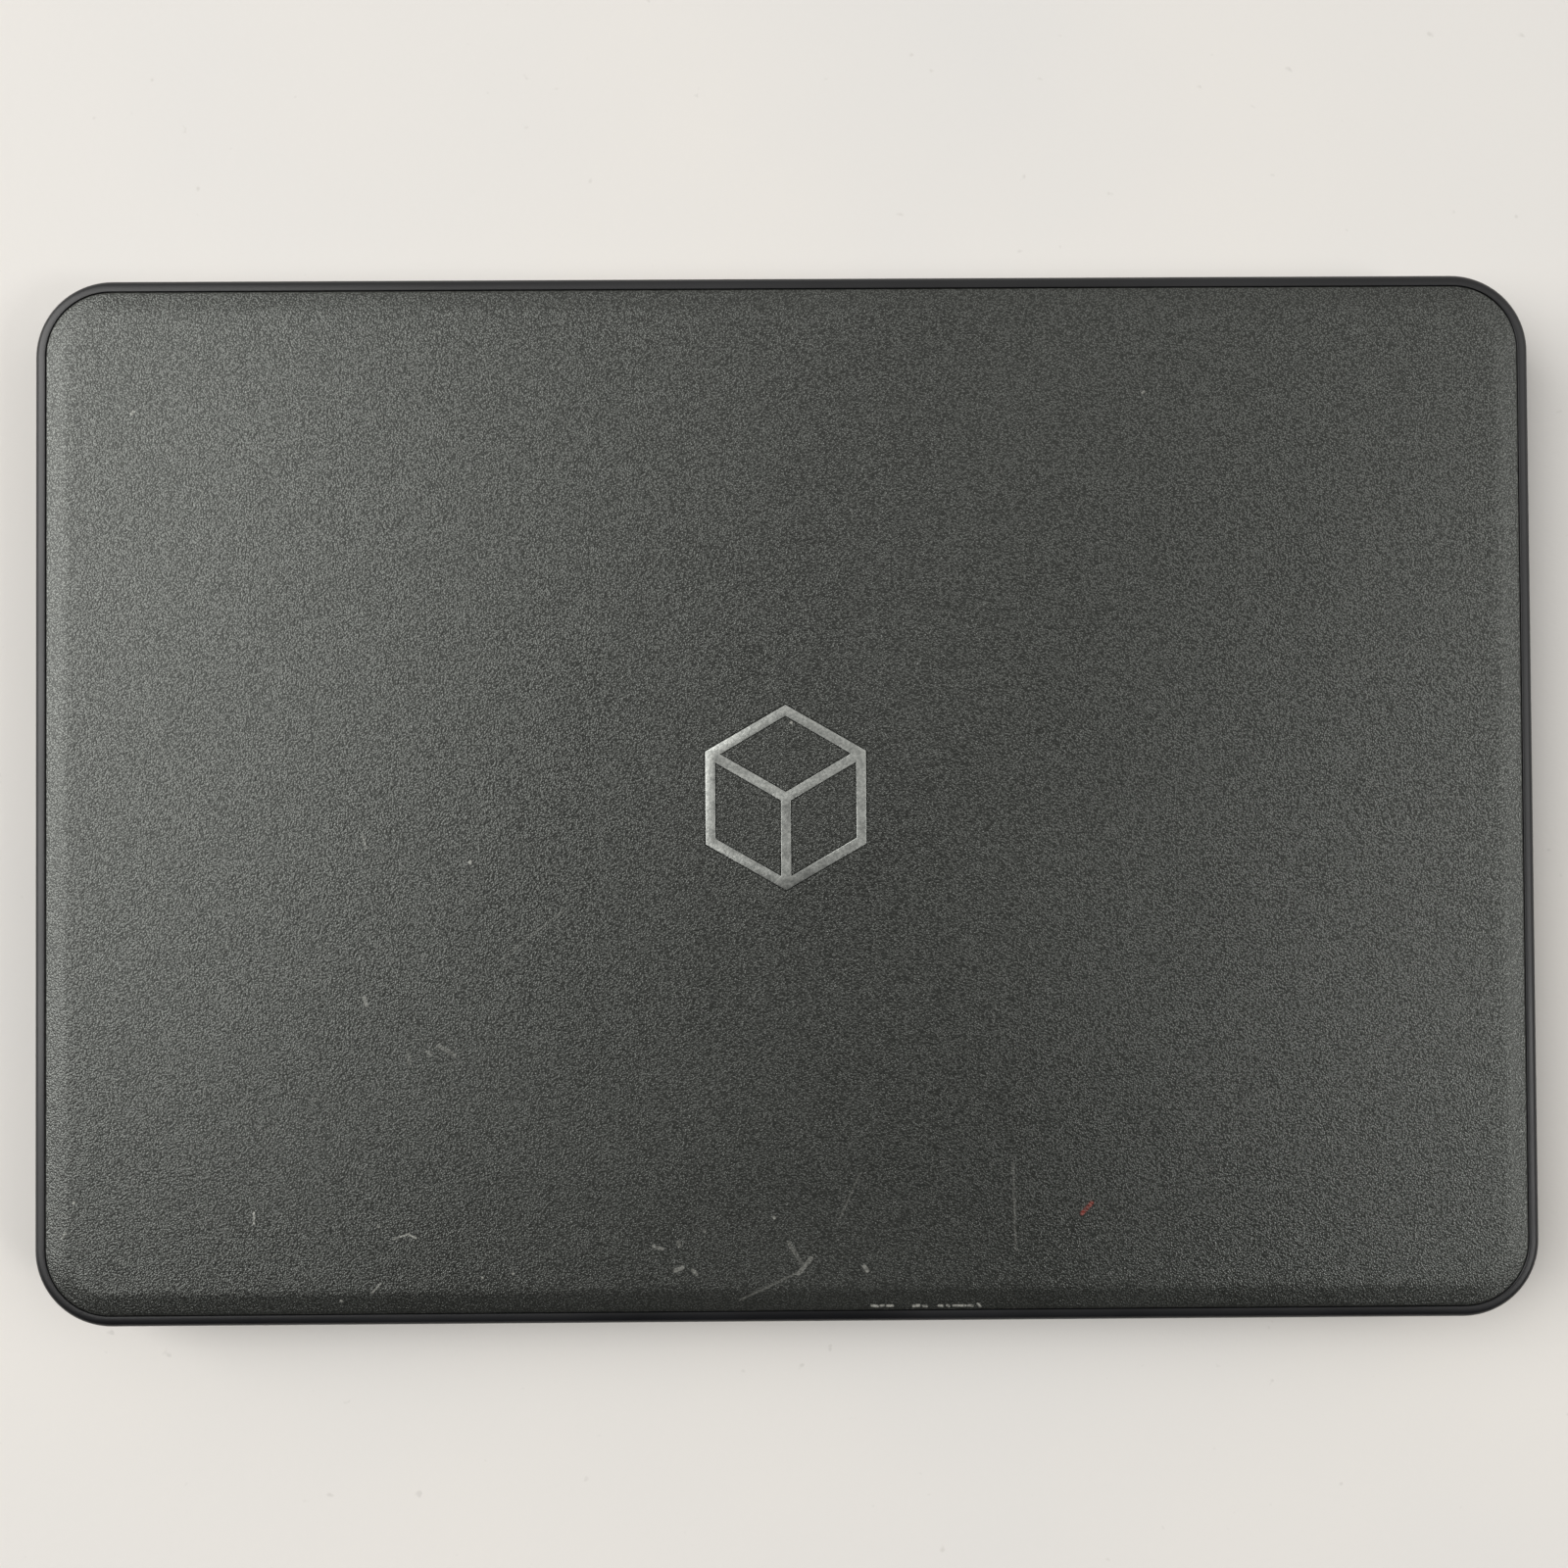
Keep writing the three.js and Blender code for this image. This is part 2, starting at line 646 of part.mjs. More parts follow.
function footPockets({ x, y, length }) {
  return [-1, 1].map((side) => {
    const shape = roundedShape(x * side, y, length + 0.4, FOOT.width + 0.4, 4.6);
    return plate(shape, 0, FOOT.top + 0.1, 3);
  });
}

function screwHole([x, y]) {
  const headRoom = rodZ(x, y, SCREW.head + 0.3, 0, SCREW.seat, 12);
  return headRoom.add(rodZ(x, y, SCREW.shank + 0.4, 0, BASE_FLOOR + 1, 8));
}

function baseCover() {
  const shell = slab(baseArea, [
    [5, BASE_BOTTOM],
    [2.6, 1.75],
    [1.2, 3],
    [0.6, SHELL_SEAM],
  ]);
  const hollow = slab(baseArea, [
    [WALL + 1.6, BASE_FLOOR],
    [WALL + 0.6, BASE_FLOOR + 1],
    [WALL + 0.6, SHELL_SEAM + 1],
  ]);
  return cut(shell, [
    hollow,
    ...footSpots.flatMap(footPockets),
    ...bothSides(screwSpots).map(screwHole),
    ...intakeSlots(),
    ...speakerGrille(-1),
    ...speakerGrille(1),
    ...openings.map(openingTool),
    ...ventSlots,
  ]);
}

function foot(length) {
  return plate(roundedShape(0, 0, length, FOOT.width, 4.4), 0, FOOT.top, 3);
}

// Head, shank and a driver recess, standing head down on z 0.
function baseScrew() {
  const head = rodZ(0, 0, SCREW.head, 0, SCREW.headHeight, 12);
  const shank = rodZ(0, 0, SCREW.shank, 0.5, SCREW.tip - SCREW.seat + SCREW.headHeight, 8);
  const slots = [box(-1.5, 1.5, -0.35, 0.35, -1, 0.5), box(-0.35, 0.35, -1.5, 1.5, -1, 0.5)];
  return cut(head.add(shank), slots);
}

// ---------------------------------------------------------------- keyboard and touchpad
const SHEET = [8.3, 8.8]; // rubber dome sheet
const KEY_STEM = 2.5;

// The keys that stay put in this model, one moulding on the rubber sheet.
function keyField() {
  const fixed = keys.filter((key) => !movingKeys[key.label]);
  const sheet = box(-143.5, 143.5, KEYS_FRONT - 1, KEYS_BACK + 0.5, ...SHEET);
  const seat = SHEET[1] - 0.1;
  const caps = fixed.map((key) => keycap(key, KEY_TOP - seat).translate([key.x, key.y, seat]));
  return union([sheet, ...caps]);
}

function movingKey(key) {
  const plunger = box(-KEY_STEM, KEY_STEM, -KEY_STEM, KEY_STEM, -0.35, 0.5);
  return keycap(key).add(plunger);
}

function keyboardPlate() {
  const sheet = box(-145, 145, KEYS_FRONT - 1.5, KEYS_BACK + 1, 7.6, 8.15);
  const holes = [-100, 0, 100].map((x) => rodZ(x, KEYS_BACK - 14, 3, 7, 9, 8));
  return cut(sheet, holes);
}

// Hinged along its back edge; its front edge clicks down.
function touchpad() {
  const half = TOUCHPAD.width / 2;
  const pad = plate(roundedShape(0, -30, 2 * half, 60, TOUCHPAD.radius), -1, 0, 4);
  const circuit = box(-half + 3, half - 3, -55, -6, -1.7, -0.9);
  return pad.add(circuit);
}

function touchpadFrame() {
  const [x0, x1] = [TOUCHPAD.x - 53, TOUCHPAD.x + 53];
  const sheet = box(x0, x1, TOUCHPAD.front - 3, TOUCHPAD.back + 4, 9.2, 9.9);
  const window = box(x0 + 14, x1 - 14, TOUCHPAD.front + 14, TOUCHPAD.back - 8, 9, 10);
  const back = box(x0 + 6, x1 - 6, TOUCHPAD.back + 1, TOUCHPAD.back + 4, 9.5, 11.1);
  const click = rodZ(TOUCHPAD.x, TOUCHPAD.front + 6, 2, 9.6, 10.3, 16);
  return cut(sheet, [window]).add(back).add(click);
}

// ---------------------------------------------------------------- inside the base
function batteryPack() {
  const { half, front, back, bottom, top } = BATTERY;
  const cells = [-1, 0, 1].map((i) => {
    const width = (2 * half) / 3;
    const x = i * width;
    return box(x - width / 2 + 0.6, x + width / 2 - 0.6, front, back - 6, bottom, top);
  });
  const frame = box(-half, half, front + 4, back, bottom + 0.8, top - 1.6);
  const plug = box(-20, -6, back - 1, back + 4, bottom + 1, top - 2);
  return union([...cells, frame, plug]);
}

function systemBoard() {
  const shape = new THREE.Shape(
    [
      [-149.5, -24],
      [88, -24],
      [88, 33],
      [23, 33],
      [23, 91],
      [-149.5, 91],
    ].map(([x, y]) => new THREE.Vector2(x, y)),
  );
  const sheet = plate(shape, BOARD_BOTTOM, BOARD_TOP);
  const chips = [
    [-36, -8, 42, 66, 5.2], // processor
    [-30, -14, 46, 62, 4.95], // its die
    [-92, -20, 15.5, 20.5, 3.6], // memory socket
    [-12, -7, -17, 5, 4.3], // drive socket
    [-108.8, -104, 56, 78, 4.3], // wireless socket
    [-80, -68, 30, 42, 5.4],
    [-62, -54, 60, 70, 5.5],
    [0, 9, 40, 52, 5.3],
    [-125, -113, -10, 2, 5.4],
    [76, 86, -9, 5, 5.5], // ribbon socket
  ].map(([x0, x1, y0, y1, z]) => box(x0, x1, y0, y1, z, BOARD_BOTTOM + 0.3));
  return union([sheet, ...chips]);
}

// Cold plate, flattened heat pipe and fin stack in front of the exhaust slots.
function heatsink() {
  const cold = box(-42, -2, 36, 72, 3.9, 4.85);
  const pipe = union([
    box(-26, -18, 60, 99, 3.2, 4.1),
    box(-26, 84, 95.4, 99, 3.2, 4.1),
  ]);
  const fins = box(FAN.x - 28, FAN.x + 28, 95.4, 101.4, 3.4, 7.3);
  const gaps = Array.from({ length: 14 }, (_, i) => {
    const x = FAN.x - 26.1 + i * 3.75;
    return box(x - 1.3, x + 1.3, 94, 105, 4.3, 7);
  });
  return union([cold, pipe, cut(fins, gaps)]);
}

function fanHousing() {
  const { x, y, half, bottom, top } = FAN;
  const shell = box(x - half, x + half, y - half, y + half, bottom, top);
  const swirl = rodZ(x, y, 26.5, bottom + 0.5, top - 0.5, 28);
  const outlet = box(x - 25, x + 25, y, y + half + 1, bottom + 0.5, top - 0.5);
  const inlet = rodZ(x, y, 17, bottom - 1, bottom + 1, 20);
  const axle = rodZ(x, y, 1.2, 4.3, top - 0.3, 12);
  return cut(shell, [swirl, outlet, inlet]).add(axle);
}

const FAN_BLADES = 11;

function fanImpeller() {
  const hub = rodZ(0, 0, 9, 0, 2.7, 18);
  const bore = rodZ(0, 0, 1.5, 0.5, 4, 12);
  const blades = Array.from({ length: FAN_BLADES }, (_, i) => {
    const blade = new THREE.BoxGeometry(16, 0.8, 2.4);
    blade.translate(15.5, 3.5, 1.35);
    blade.rotateZ((i / FAN_BLADES) * Math.PI * 2);
    return solid(blade);
  });
  return union([hub, ...blades]).subtract(bore);
}

function memoryModule() {
  const sheet = box(-90, -22.4, -14, 15.2, 4.6, 5.5);
  const chips = [-84, -68, -52, -36].flatMap((x) => [
    box(x, x + 11, -9, 5, 3.7, 4.8),
    box(x, x + 11, -9, 5, 5.3, 6.1),
  ]);
  return union([sheet, ...chips]);
}

function ssdModule() {
  const sheet = box(-6.7, 73, -17, 5, 4.8, 5.6);
  const chips = [5, 26, 50].map((x) => box(x, x + 15, -13, 1, 3.7, 5));
  return union([sheet, ...chips]);
}

function wlanCard() {
  const sheet = box(-139, -109.1, 56, 78, 4.8, 5.6);
  return sheet.add(box(-134, -116, 58.5, 75.5, 3.6, 5));
}

function speaker() {
  const chamber = box(118.5, 151, -96, -38, 3, 9.8);
  const cone = rodZ(141.5, -77, 8, 2.95, 4, 12);
  return chamber.add(cone);
}

function ioBoard() {
  const sheet = box(116, 149.4, -24, 72, BOARD_BOTTOM, BOARD_TOP);
  const socket = box(118, 126, -9, 5, 5.5, 6.5);
  const reader = box(147, 162, -11, 3, BOARD_TOP - 0.1, 9);
  const slot = box(148, 163, -10.3, 2.3, 7.55, 8.65);
  return union([sheet, socket, reader]).subtract(slot);
}

function ioRibbon() {
  return ribbon(
    [
      [78, -2, 5.3],
      [92, -2, 5],
      [110, -2, 5],
      [124, -2, 5.3],
    ],
    10,
    0.25,
  );
}

// ---------------------------------------------------------------- ports
// Each port is built about its opening, mouth at x 0 and body running towards +X.
function shellPort(width, height, depth, wall, tongue) {
  const tube = box(0, depth, -width / 2, width / 2, -height / 2, height / 2);
  const hollow = box(
    -1,
    depth - 1.5,
    -width / 2 + wall,
    width / 2 - wall,
    -height / 2 + wall,
    height / 2 - wall,
  );
  const [tongueWidth, z0, z1] = tongue;
  const blade = box(1.2, depth - 1, -tongueWidth / 2, tongueWidth / 2, z0, z1);
  return tube.subtract(hollow).add(blade);
}

const usbWide = () => shellPort(13.1, 5.7, 14, 0.35, [11.2, 0.3, 2.1]);
const hdmi = () => shellPort(15, 5.6, 11.5, 0.4, [11.4, -0.9, 0.5]);

function usbSmall() {
  const depth = 9;
  const tube = (width, height, x0, x1) => {
    const shape = roundedShape(0, 0, height, width, height / 2 - 0.01);
    return plate(shape, x0, x1, 3).rotate([0, 90, 0]);
  };
  const hollow = tube(8.4, 2.6, -1, depth - 1.2);
  const blade = box(0.8, depth - 1, -3.3, 3.3, -0.35, 0.35);
  return tube(9, 3.2, 0, depth).subtract(hollow).add(blade);
}

function networkPort() {
  const housing = box(0, 13.8, -7.4, 7.4, -4.45, 4.45);
  const mouth = box(-1, 12, -6, 6, -2.6, 3.9);
  const latch = box(-1, 12, -3.1, 3.1, -4, -2);
  const contacts = box(3, 12.5, -4.4, 4.4, 2.2, 3);
  return cut(housing, [mouth, latch]).add(contacts);
}

function roundPort(barrel, bore, depth, half, block) {
  const sleeve = rodX(0, 0, barrel, 0, depth);
  const body = box(2.8, depth + 1, -half, half, -block / 2, block / 2);
  return sleeve.add(body).subtract(rodX(0, 0, bore, -1, depth));
}

function powerInlet() {
  return roundPort(3.5, 2.8, 11, 5, 6.8).add(rodX(0, 0, 0.5, 1.5, 11.5, 8));
}

// ---------------------------------------------------------------- put it together
function addLid() {
  place(lid, "lid_back_cover", lidBackCover(), finish.lid);
  place(lid, "lid_rim_bumper", lidRim(), finish.rim);
  place(lid, "lid_emblem", badge(), finish.silver, [0, 0, LID_TOP - BADGE_DEPTH]);
  place(lid, "display_bezel", displayBezel(), finish.bezel);
  place(lid, "lcd_panel", lcdPanel(), finish.screen);
  place(lid, "camera_module", cameraModule(), finish.portBlack);
  place(lid, "display_cable", displayCable(), finish.portBlack);
  placePair(lid, "antenna", antenna(), finish.copper);
  placePair(lid, "hinge_arm", hingeArm(), finish.steel);
  placePair(lid, "hinge_shaft", hingeShaft(), finish.steel);
  placePair(lid, "hinge_cover", hingeCover(), finish.bezel);
}

function addShells() {
  place(base, "palmrest_cover", palmrestCover(), finish.shell);
  place(base, "base_cover", baseCover(), finish.shell);
  placePair(base, "hinge_base", hingeBase(), finish.darkSteel);
  for (const side of [-1, 1]) {
    const hand = side > 0 ? "right" : "left";
    for (const { name, x, y, length } of footSpots) {
      place(base, `foot_${name}_${hand}`, foot(length), finish.rubber, [x * side, y, 0]);
    }
    screwSpots.forEach(([x, y], i) => {
      const row = ["front", "middle", "rear"][i];
      const z = SCREW.seat - 0.05 - SCREW.headHeight;
      place(base, `base_screw_${row}_${hand}`, baseScrew(), finish.steel, [x * side, y, z]);
    });
  }
}

function addInputs() {
  place(base, "keyboard_plate", keyboardPlate(), finish.steel);
  place(base, "key_field", keyField(), finish.key);
  for (const key of keys) {
    const name = movingKeys[key.label];
    if (name) place(base, name, movingKey(key), finish.key, [key.x, key.y, KEY_UNDER]);
  }
  place(base, "touchpad", touchpad(), finish.touch, [TOUCHPAD.x, TOUCHPAD.back, DECK - 0.15]);
  place(base, "touchpad_frame", touchpadFrame(), finish.steel);
}

function addInternals() {
  place(base, "battery_pack", batteryPack(), finish.cell);
  place(base, "system_board", systemBoard(), finish.board);
  place(base, "heatsink", heatsink(), finish.copper);
  place(base, "fan_housing", fanHousing(), finish.portBlack);
  place(base, "fan_impeller", fanImpeller(), finish.portBlack, [FAN.x, FAN.y, 3.8]);
  place(base, "memory_module", memoryModule(), finish.board);
  place(base, "ssd_module", ssdModule(), finish.board);
  place(base, "wlan_card", wlanCard(), finish.board);
  place(base, "coin_cell", rodZ(0, 0, 10, 0, 3, 20), finish.steel, [-90, 74, 3.1]);
  placePair(base, "speaker", speaker(), finish.portBlack);
  place(base, "io_board", ioBoard(), finish.board);
  place(base, "io_ribbon_cable", ioRibbon(), finish.ribbon);
}

function addPorts() {
  const left = [-PORT_FACE, PORT_FACE];
  const put = (name, body, look, y, z = PORT_Z, side = -1) => {
    const mesh = place(base, name, body, look, [side < 0 ? left[0] : left[1], y, z]);
    if (side > 0) mesh.scale.x = -1;
  };
  put("dc_in_jack", powerInlet(), finish.portBlack, 59.5);
  put("ethernet_port", networkPort(), finish.portBlack, 43, 6.55);
  put("hdmi_port", hdmi(), finish.port, 20);
  put("usb_a_port_left", usbWide(), finish.port, 0);
  put("usb_c_port", usbSmall(), finish.port, -18);
  put("usb_a_port_right", usbWide(), finish.port, 40, PORT_Z, 1);
  put("audio_jack", roundPort(3.2, 1.8, 12, 3.6, 6.4), finish.portBlack, 18, PORT_Z, 1);
}

addLid();
addShells();
addInputs();
addInternals();
addPorts();

export default laptop;
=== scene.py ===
import functools
import json
import math

import bmesh
import bpy
from mathutils import Matrix, Vector


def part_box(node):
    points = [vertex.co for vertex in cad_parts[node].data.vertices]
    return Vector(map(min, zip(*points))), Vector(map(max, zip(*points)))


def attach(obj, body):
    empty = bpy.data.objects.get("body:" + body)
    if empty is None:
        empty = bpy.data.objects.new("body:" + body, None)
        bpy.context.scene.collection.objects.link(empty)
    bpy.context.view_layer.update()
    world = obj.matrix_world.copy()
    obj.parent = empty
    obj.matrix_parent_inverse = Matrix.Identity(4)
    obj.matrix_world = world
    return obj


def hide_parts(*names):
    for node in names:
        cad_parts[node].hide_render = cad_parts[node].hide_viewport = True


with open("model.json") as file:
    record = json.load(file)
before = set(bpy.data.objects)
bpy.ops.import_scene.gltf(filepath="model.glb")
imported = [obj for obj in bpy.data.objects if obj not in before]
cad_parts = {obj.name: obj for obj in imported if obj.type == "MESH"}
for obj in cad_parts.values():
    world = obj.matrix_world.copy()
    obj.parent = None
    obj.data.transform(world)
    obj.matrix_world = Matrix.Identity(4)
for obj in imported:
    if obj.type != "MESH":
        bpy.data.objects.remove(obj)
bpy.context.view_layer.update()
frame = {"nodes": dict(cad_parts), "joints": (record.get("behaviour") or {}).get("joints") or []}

MM = 0.001


def span(node):
    """A node's rest box in millimetres: x0, x1, y0, y1, z0, z1."""
    low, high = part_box(node)
    return [value / MM for pair in zip(low, high) for value in pair]


LID_X, LID_Y = span("lid_rim_bumper")[1], span("lid_rim_bumper")[3]
RIM_BOTTOM, RIM_TOP = span("lid_rim_bumper")[4:]
LID_TOP = span("lid_back_cover")[5]
BEZEL_BOTTOM, BEZEL_TOP = span("display_bezel")[4:]
DECK = span("power_button")[5] + 0.05
KEY_TOP = span("key_field")[5]
KEY_UNDER = KEY_TOP - 2.15
LID_HINGE = next(joint for joint in frame["joints"] if joint["name"] == "lid_hinge")
HINGE_Y, HINGE_Z = [value / MM for value in LID_HINGE["pos_m"][1:]]
POCKET_RADIUS, POCKET_INNER, POCKET_OUTER = 4.8, 109.6, 146.4
CORNER = 16.9
RIM_WIDTH = 2.6
LID_EDGE = RIM_WIDTH + 0.15  # from the outline in to the lid's skin
BAND_SLOPE, BAND_WIDTH, BAND_SOFTNESS = 0.17, 4.7, 0.4
CURL_DROP, CURL_WIDTH = 0.28, 0.2
SCREEN_HALF = 146.9
SCREEN_FRONT = span("lcd_panel")[2] + 6.4
SCREEN_BACK = SCREEN_FRONT + 165.2
CAMERA_Y = -105.5
CAMERA_LAMP_X = 7
BADGE_RADIUS = 20.35
BADGE_STROKE = 2.2
KEY_PITCH = 19
KEY_ROW_PITCH = 18.4
KEY_TOP_ROW_PITCH = 12
KEY_GAP = 3
HALF_KEY = 6.7  # front to back of a half-height key
KEYS_FRONT = span("key_field")[2] + 1
PORT_HEIGHT = 7.6  # middle of the ports, except the network socket

# ------------------------------------------------------------------ mesh helpers


def link(obj):
    bpy.context.scene.collection.objects.link(obj)
    return obj


def make(name, points, faces, sharp=35):
    """A mesh object from points in millimetres, smooth but for edges of over sharp degrees."""
    mesh = bpy.data.meshes.new(name)
    mesh.from_pydata([Vector(point) * MM for point in points], [], faces)
    weld(mesh)
    return shade(link(bpy.data.objects.new(name, mesh)), sharp)


def shade(obj, sharp=35):
    obj.data.polygons.foreach_set("use_smooth", [True] * len(obj.data.polygons))
    obj.data.set_sharp_from_angle(angle=math.radians(sharp))
    return obj


def arc(x, y, radius, start, turn, steps):
    """Points on an arc, angles in degrees."""
    angles = [math.radians(start + turn * i / steps) for i in range(steps + 1)]
    return [(x + radius * math.cos(a), y + radius * math.sin(a)) for a in angles]


def rounded(x0, x1, y0, y1, radius, steps=8):
    """Corner arcs of a rectangle, anticlockwise. radius is one value, or (front, back)."""
    front, back = radius if isinstance(radius, tuple) else (radius, radius)
    return (
        arc(x1 - back, y1 - back, back, 0, 90, steps)
        + arc(x0 + back, y1 - back, back, 90, 90, steps)
        + arc(x0 + front, y0 + front, front, 180, 90, steps)
        + arc(x1 - front, y0 + front, front, 270, 90, steps)
    )


def lid_ring(inset, steps=20):
    """The lid's outline, moved in by the inset."""
    radius = max(CORNER - inset, 1)
    return rounded(inset - LID_X, LID_X - inset, inset - LID_Y, LID_Y - inset, radius, steps)


def loft(name, rings, hoop=False, sharp=35):
    """Rings of points joined in order, closed flat at the ends; a hoop joins last to first."""
    count = len(rings[0])
    points = [point for ring in rings for point in ring]
    faces = []
    for r in range(len(rings) if hoop else len(rings) - 1):
        low, high = r * count, (r + 1) % len(rings) * count
        for i in range(count):
            j = (i + 1) % count
            faces.append((low + i, low + j, high + j, high + i))
    if not hoop:
        last = (len(rings) - 1) * count
        faces.append(tuple(reversed(range(count))))
        faces.append(tuple(range(last, last + count)))
    return make(name, points, faces, sharp)


def lid_loft(name, profile, hoop=False, steps=20):
    """The lid's outline swept through a profile of (inset, height)."""
    rings = [[(x, y, z) for x, y in lid_ring(inset, steps)] for inset, z in profile]
    return loft(name, rings, hoop)


def weld(mesh):
    bm = bmesh.new()
    bm.from_mesh(mesh)
    bmesh.ops.remove_doubles(bm, verts=bm.verts, dist=1e-6)
    bmesh.ops.recalc_face_normals(bm, faces=bm.faces)
    bm.to_mesh(mesh)
    bm.free()


def evaluated(obj):
    """A plain mesh of the object with its modifiers applied."""
    graph = bpy.context.evaluated_depsgraph_get()
    return bpy.data.meshes.new_from_object(obj.evaluated_get(graph))


def sheet(name, loops, z0, z1, bevel, resolution=1):
    """A flat plate between two heights: the first loop is its outline, the rest are holes."""
    curve = bpy.data.curves.new(name, "CURVE")
    curve.dimensions = "2D"
    curve.fill_mode = "BOTH"
    curve.extrude = ((z1 - z0) / 2 - bevel) * MM
    curve.bevel_depth = bevel * MM
    curve.bevel_resolution = resolution
    curve.offset = -bevel * MM
    for loop in loops:
        spline = curve.splines.new("POLY")
        spline.points.add(len(loop) - 1)
        for point, (x, y) in zip(spline.points, loop):
            point.co = (x * MM, y * MM, 0, 1)
        spline.use_cyclic_u = True
    return from_curve(name, curve, (z0 + z1) / 2)


def from_curve(name, curve, z):
    """A mesh in place of a curve, raised to a height."""
    holder = link(bpy.data.objects.new(name + "_curve", curve))
    bpy.context.view_layer.update()
    mesh = evaluated(holder)
    mesh.name = name
    bpy.data.objects.remove(holder)
    mesh.transform(Matrix.Translation((0, 0, z * MM)))
    weld(mesh)
    return shade(link(bpy.data.objects.new(name, mesh)))


def block(name, x0, x1, y0, y1, z0, z1, radius):
    """A box with rounded edges."""
    mesh = bpy.data.meshes.new(name)
    bm = bmesh.new()
    bmesh.ops.create_cube(bm, size=1)
    size = Vector((x1 - x0, y1 - y0, z1 - z0)) * MM
    centre = Vector((x0 + x1, y0 + y1, z0 + z1)) * MM / 2
    bmesh.ops.scale(bm, vec=size, verts=bm.verts)
    bmesh.ops.translate(bm, vec=centre, verts=bm.verts)
    if radius:
        edges = list(bm.edges)
        bmesh.ops.bevel(bm, geom=edges, offset=radius * MM, segments=2, profile=0.5,
                        affect="EDGES")
    bm.to_mesh(mesh)
    bm.free()
    return shade(link(bpy.data.objects.new(name, mesh)), 40)


def lathe(name, profile, centre, axis="Z", steps=40):
    """A solid of revolution from (radius, distance along the axis), both ends on the axis."""
    turn = {"Z": Matrix(), "X": Matrix.Rotation(math.pi / 2, 4, "Y"),
            "-X": Matrix.Rotation(-math.pi / 2, 4, "Y")}[axis]
    points = []
    rings = []
    for radius, along in profile:
        start = len(points)
        count = 1 if radius == 0 else steps
        rings.append((start, count))
        for i in range(count):
            angle = 2 * math.pi * i / steps
            local = Vector((radius * math.cos(angle), radius * math.sin(angle), along))
            points.append(turn @ local + Vector(centre))
    faces = []
    for (low, n), (high, m) in zip(rings, rings[1:]):
        for i in range(steps):
            j = (i + 1) % steps
            face = [low + i % n, low + j % n, high + j % m, high + i % m]
            faces.append(tuple(dict.fromkeys(face)))
    return make(name, points, faces)


def carve(obj, cutters):
    """Cuts the cutters out of an object and removes them."""
    for cutter in cutters:
        modifier = obj.modifiers.new("cut", "BOOLEAN")
        modifier.object = cutter
        modifier.solver = "EXACT"
    bpy.context.view_layer.update()
    mesh = evaluated(obj)
    obj.modifiers.clear()
    obj.data = mesh
    for cutter in cutters:
        bpy.data.objects.remove(cutter)
    return shade(obj)


def merge(name, objects):
    """One object in place of several; each keeps its own material."""
    mesh = bpy.data.meshes.new(name)
    bm = bmesh.new()
    for obj in objects:
        slot = len(mesh.materials)
        mesh.materials.append(obj.data.materials[0] if obj.data.materials else None)
        start = len(bm.faces)
        bm.from_mesh(obj.data)
        bm.faces.ensure_lookup_table()
        for face in bm.faces[start:]:
            face.material_index = slot
        bpy.data.objects.remove(obj)
    bm.to_mesh(mesh)
    bm.free()
    return link(bpy.data.objects.new(name, mesh))


def wear(obj, material):
    obj.data.materials.clear()
    obj.data.materials.append(material)
    return obj


def piece(obj, body, material, slot, *nodes):
    """Gives a piece its material and its body, and hides the nodes it stands for; slot is not used.
    """
    if material:
        wear(obj, material)
    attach(obj, body)
    if nodes:
        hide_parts(*nodes)
    return obj


# ------------------------------------------------------------------ material helpers


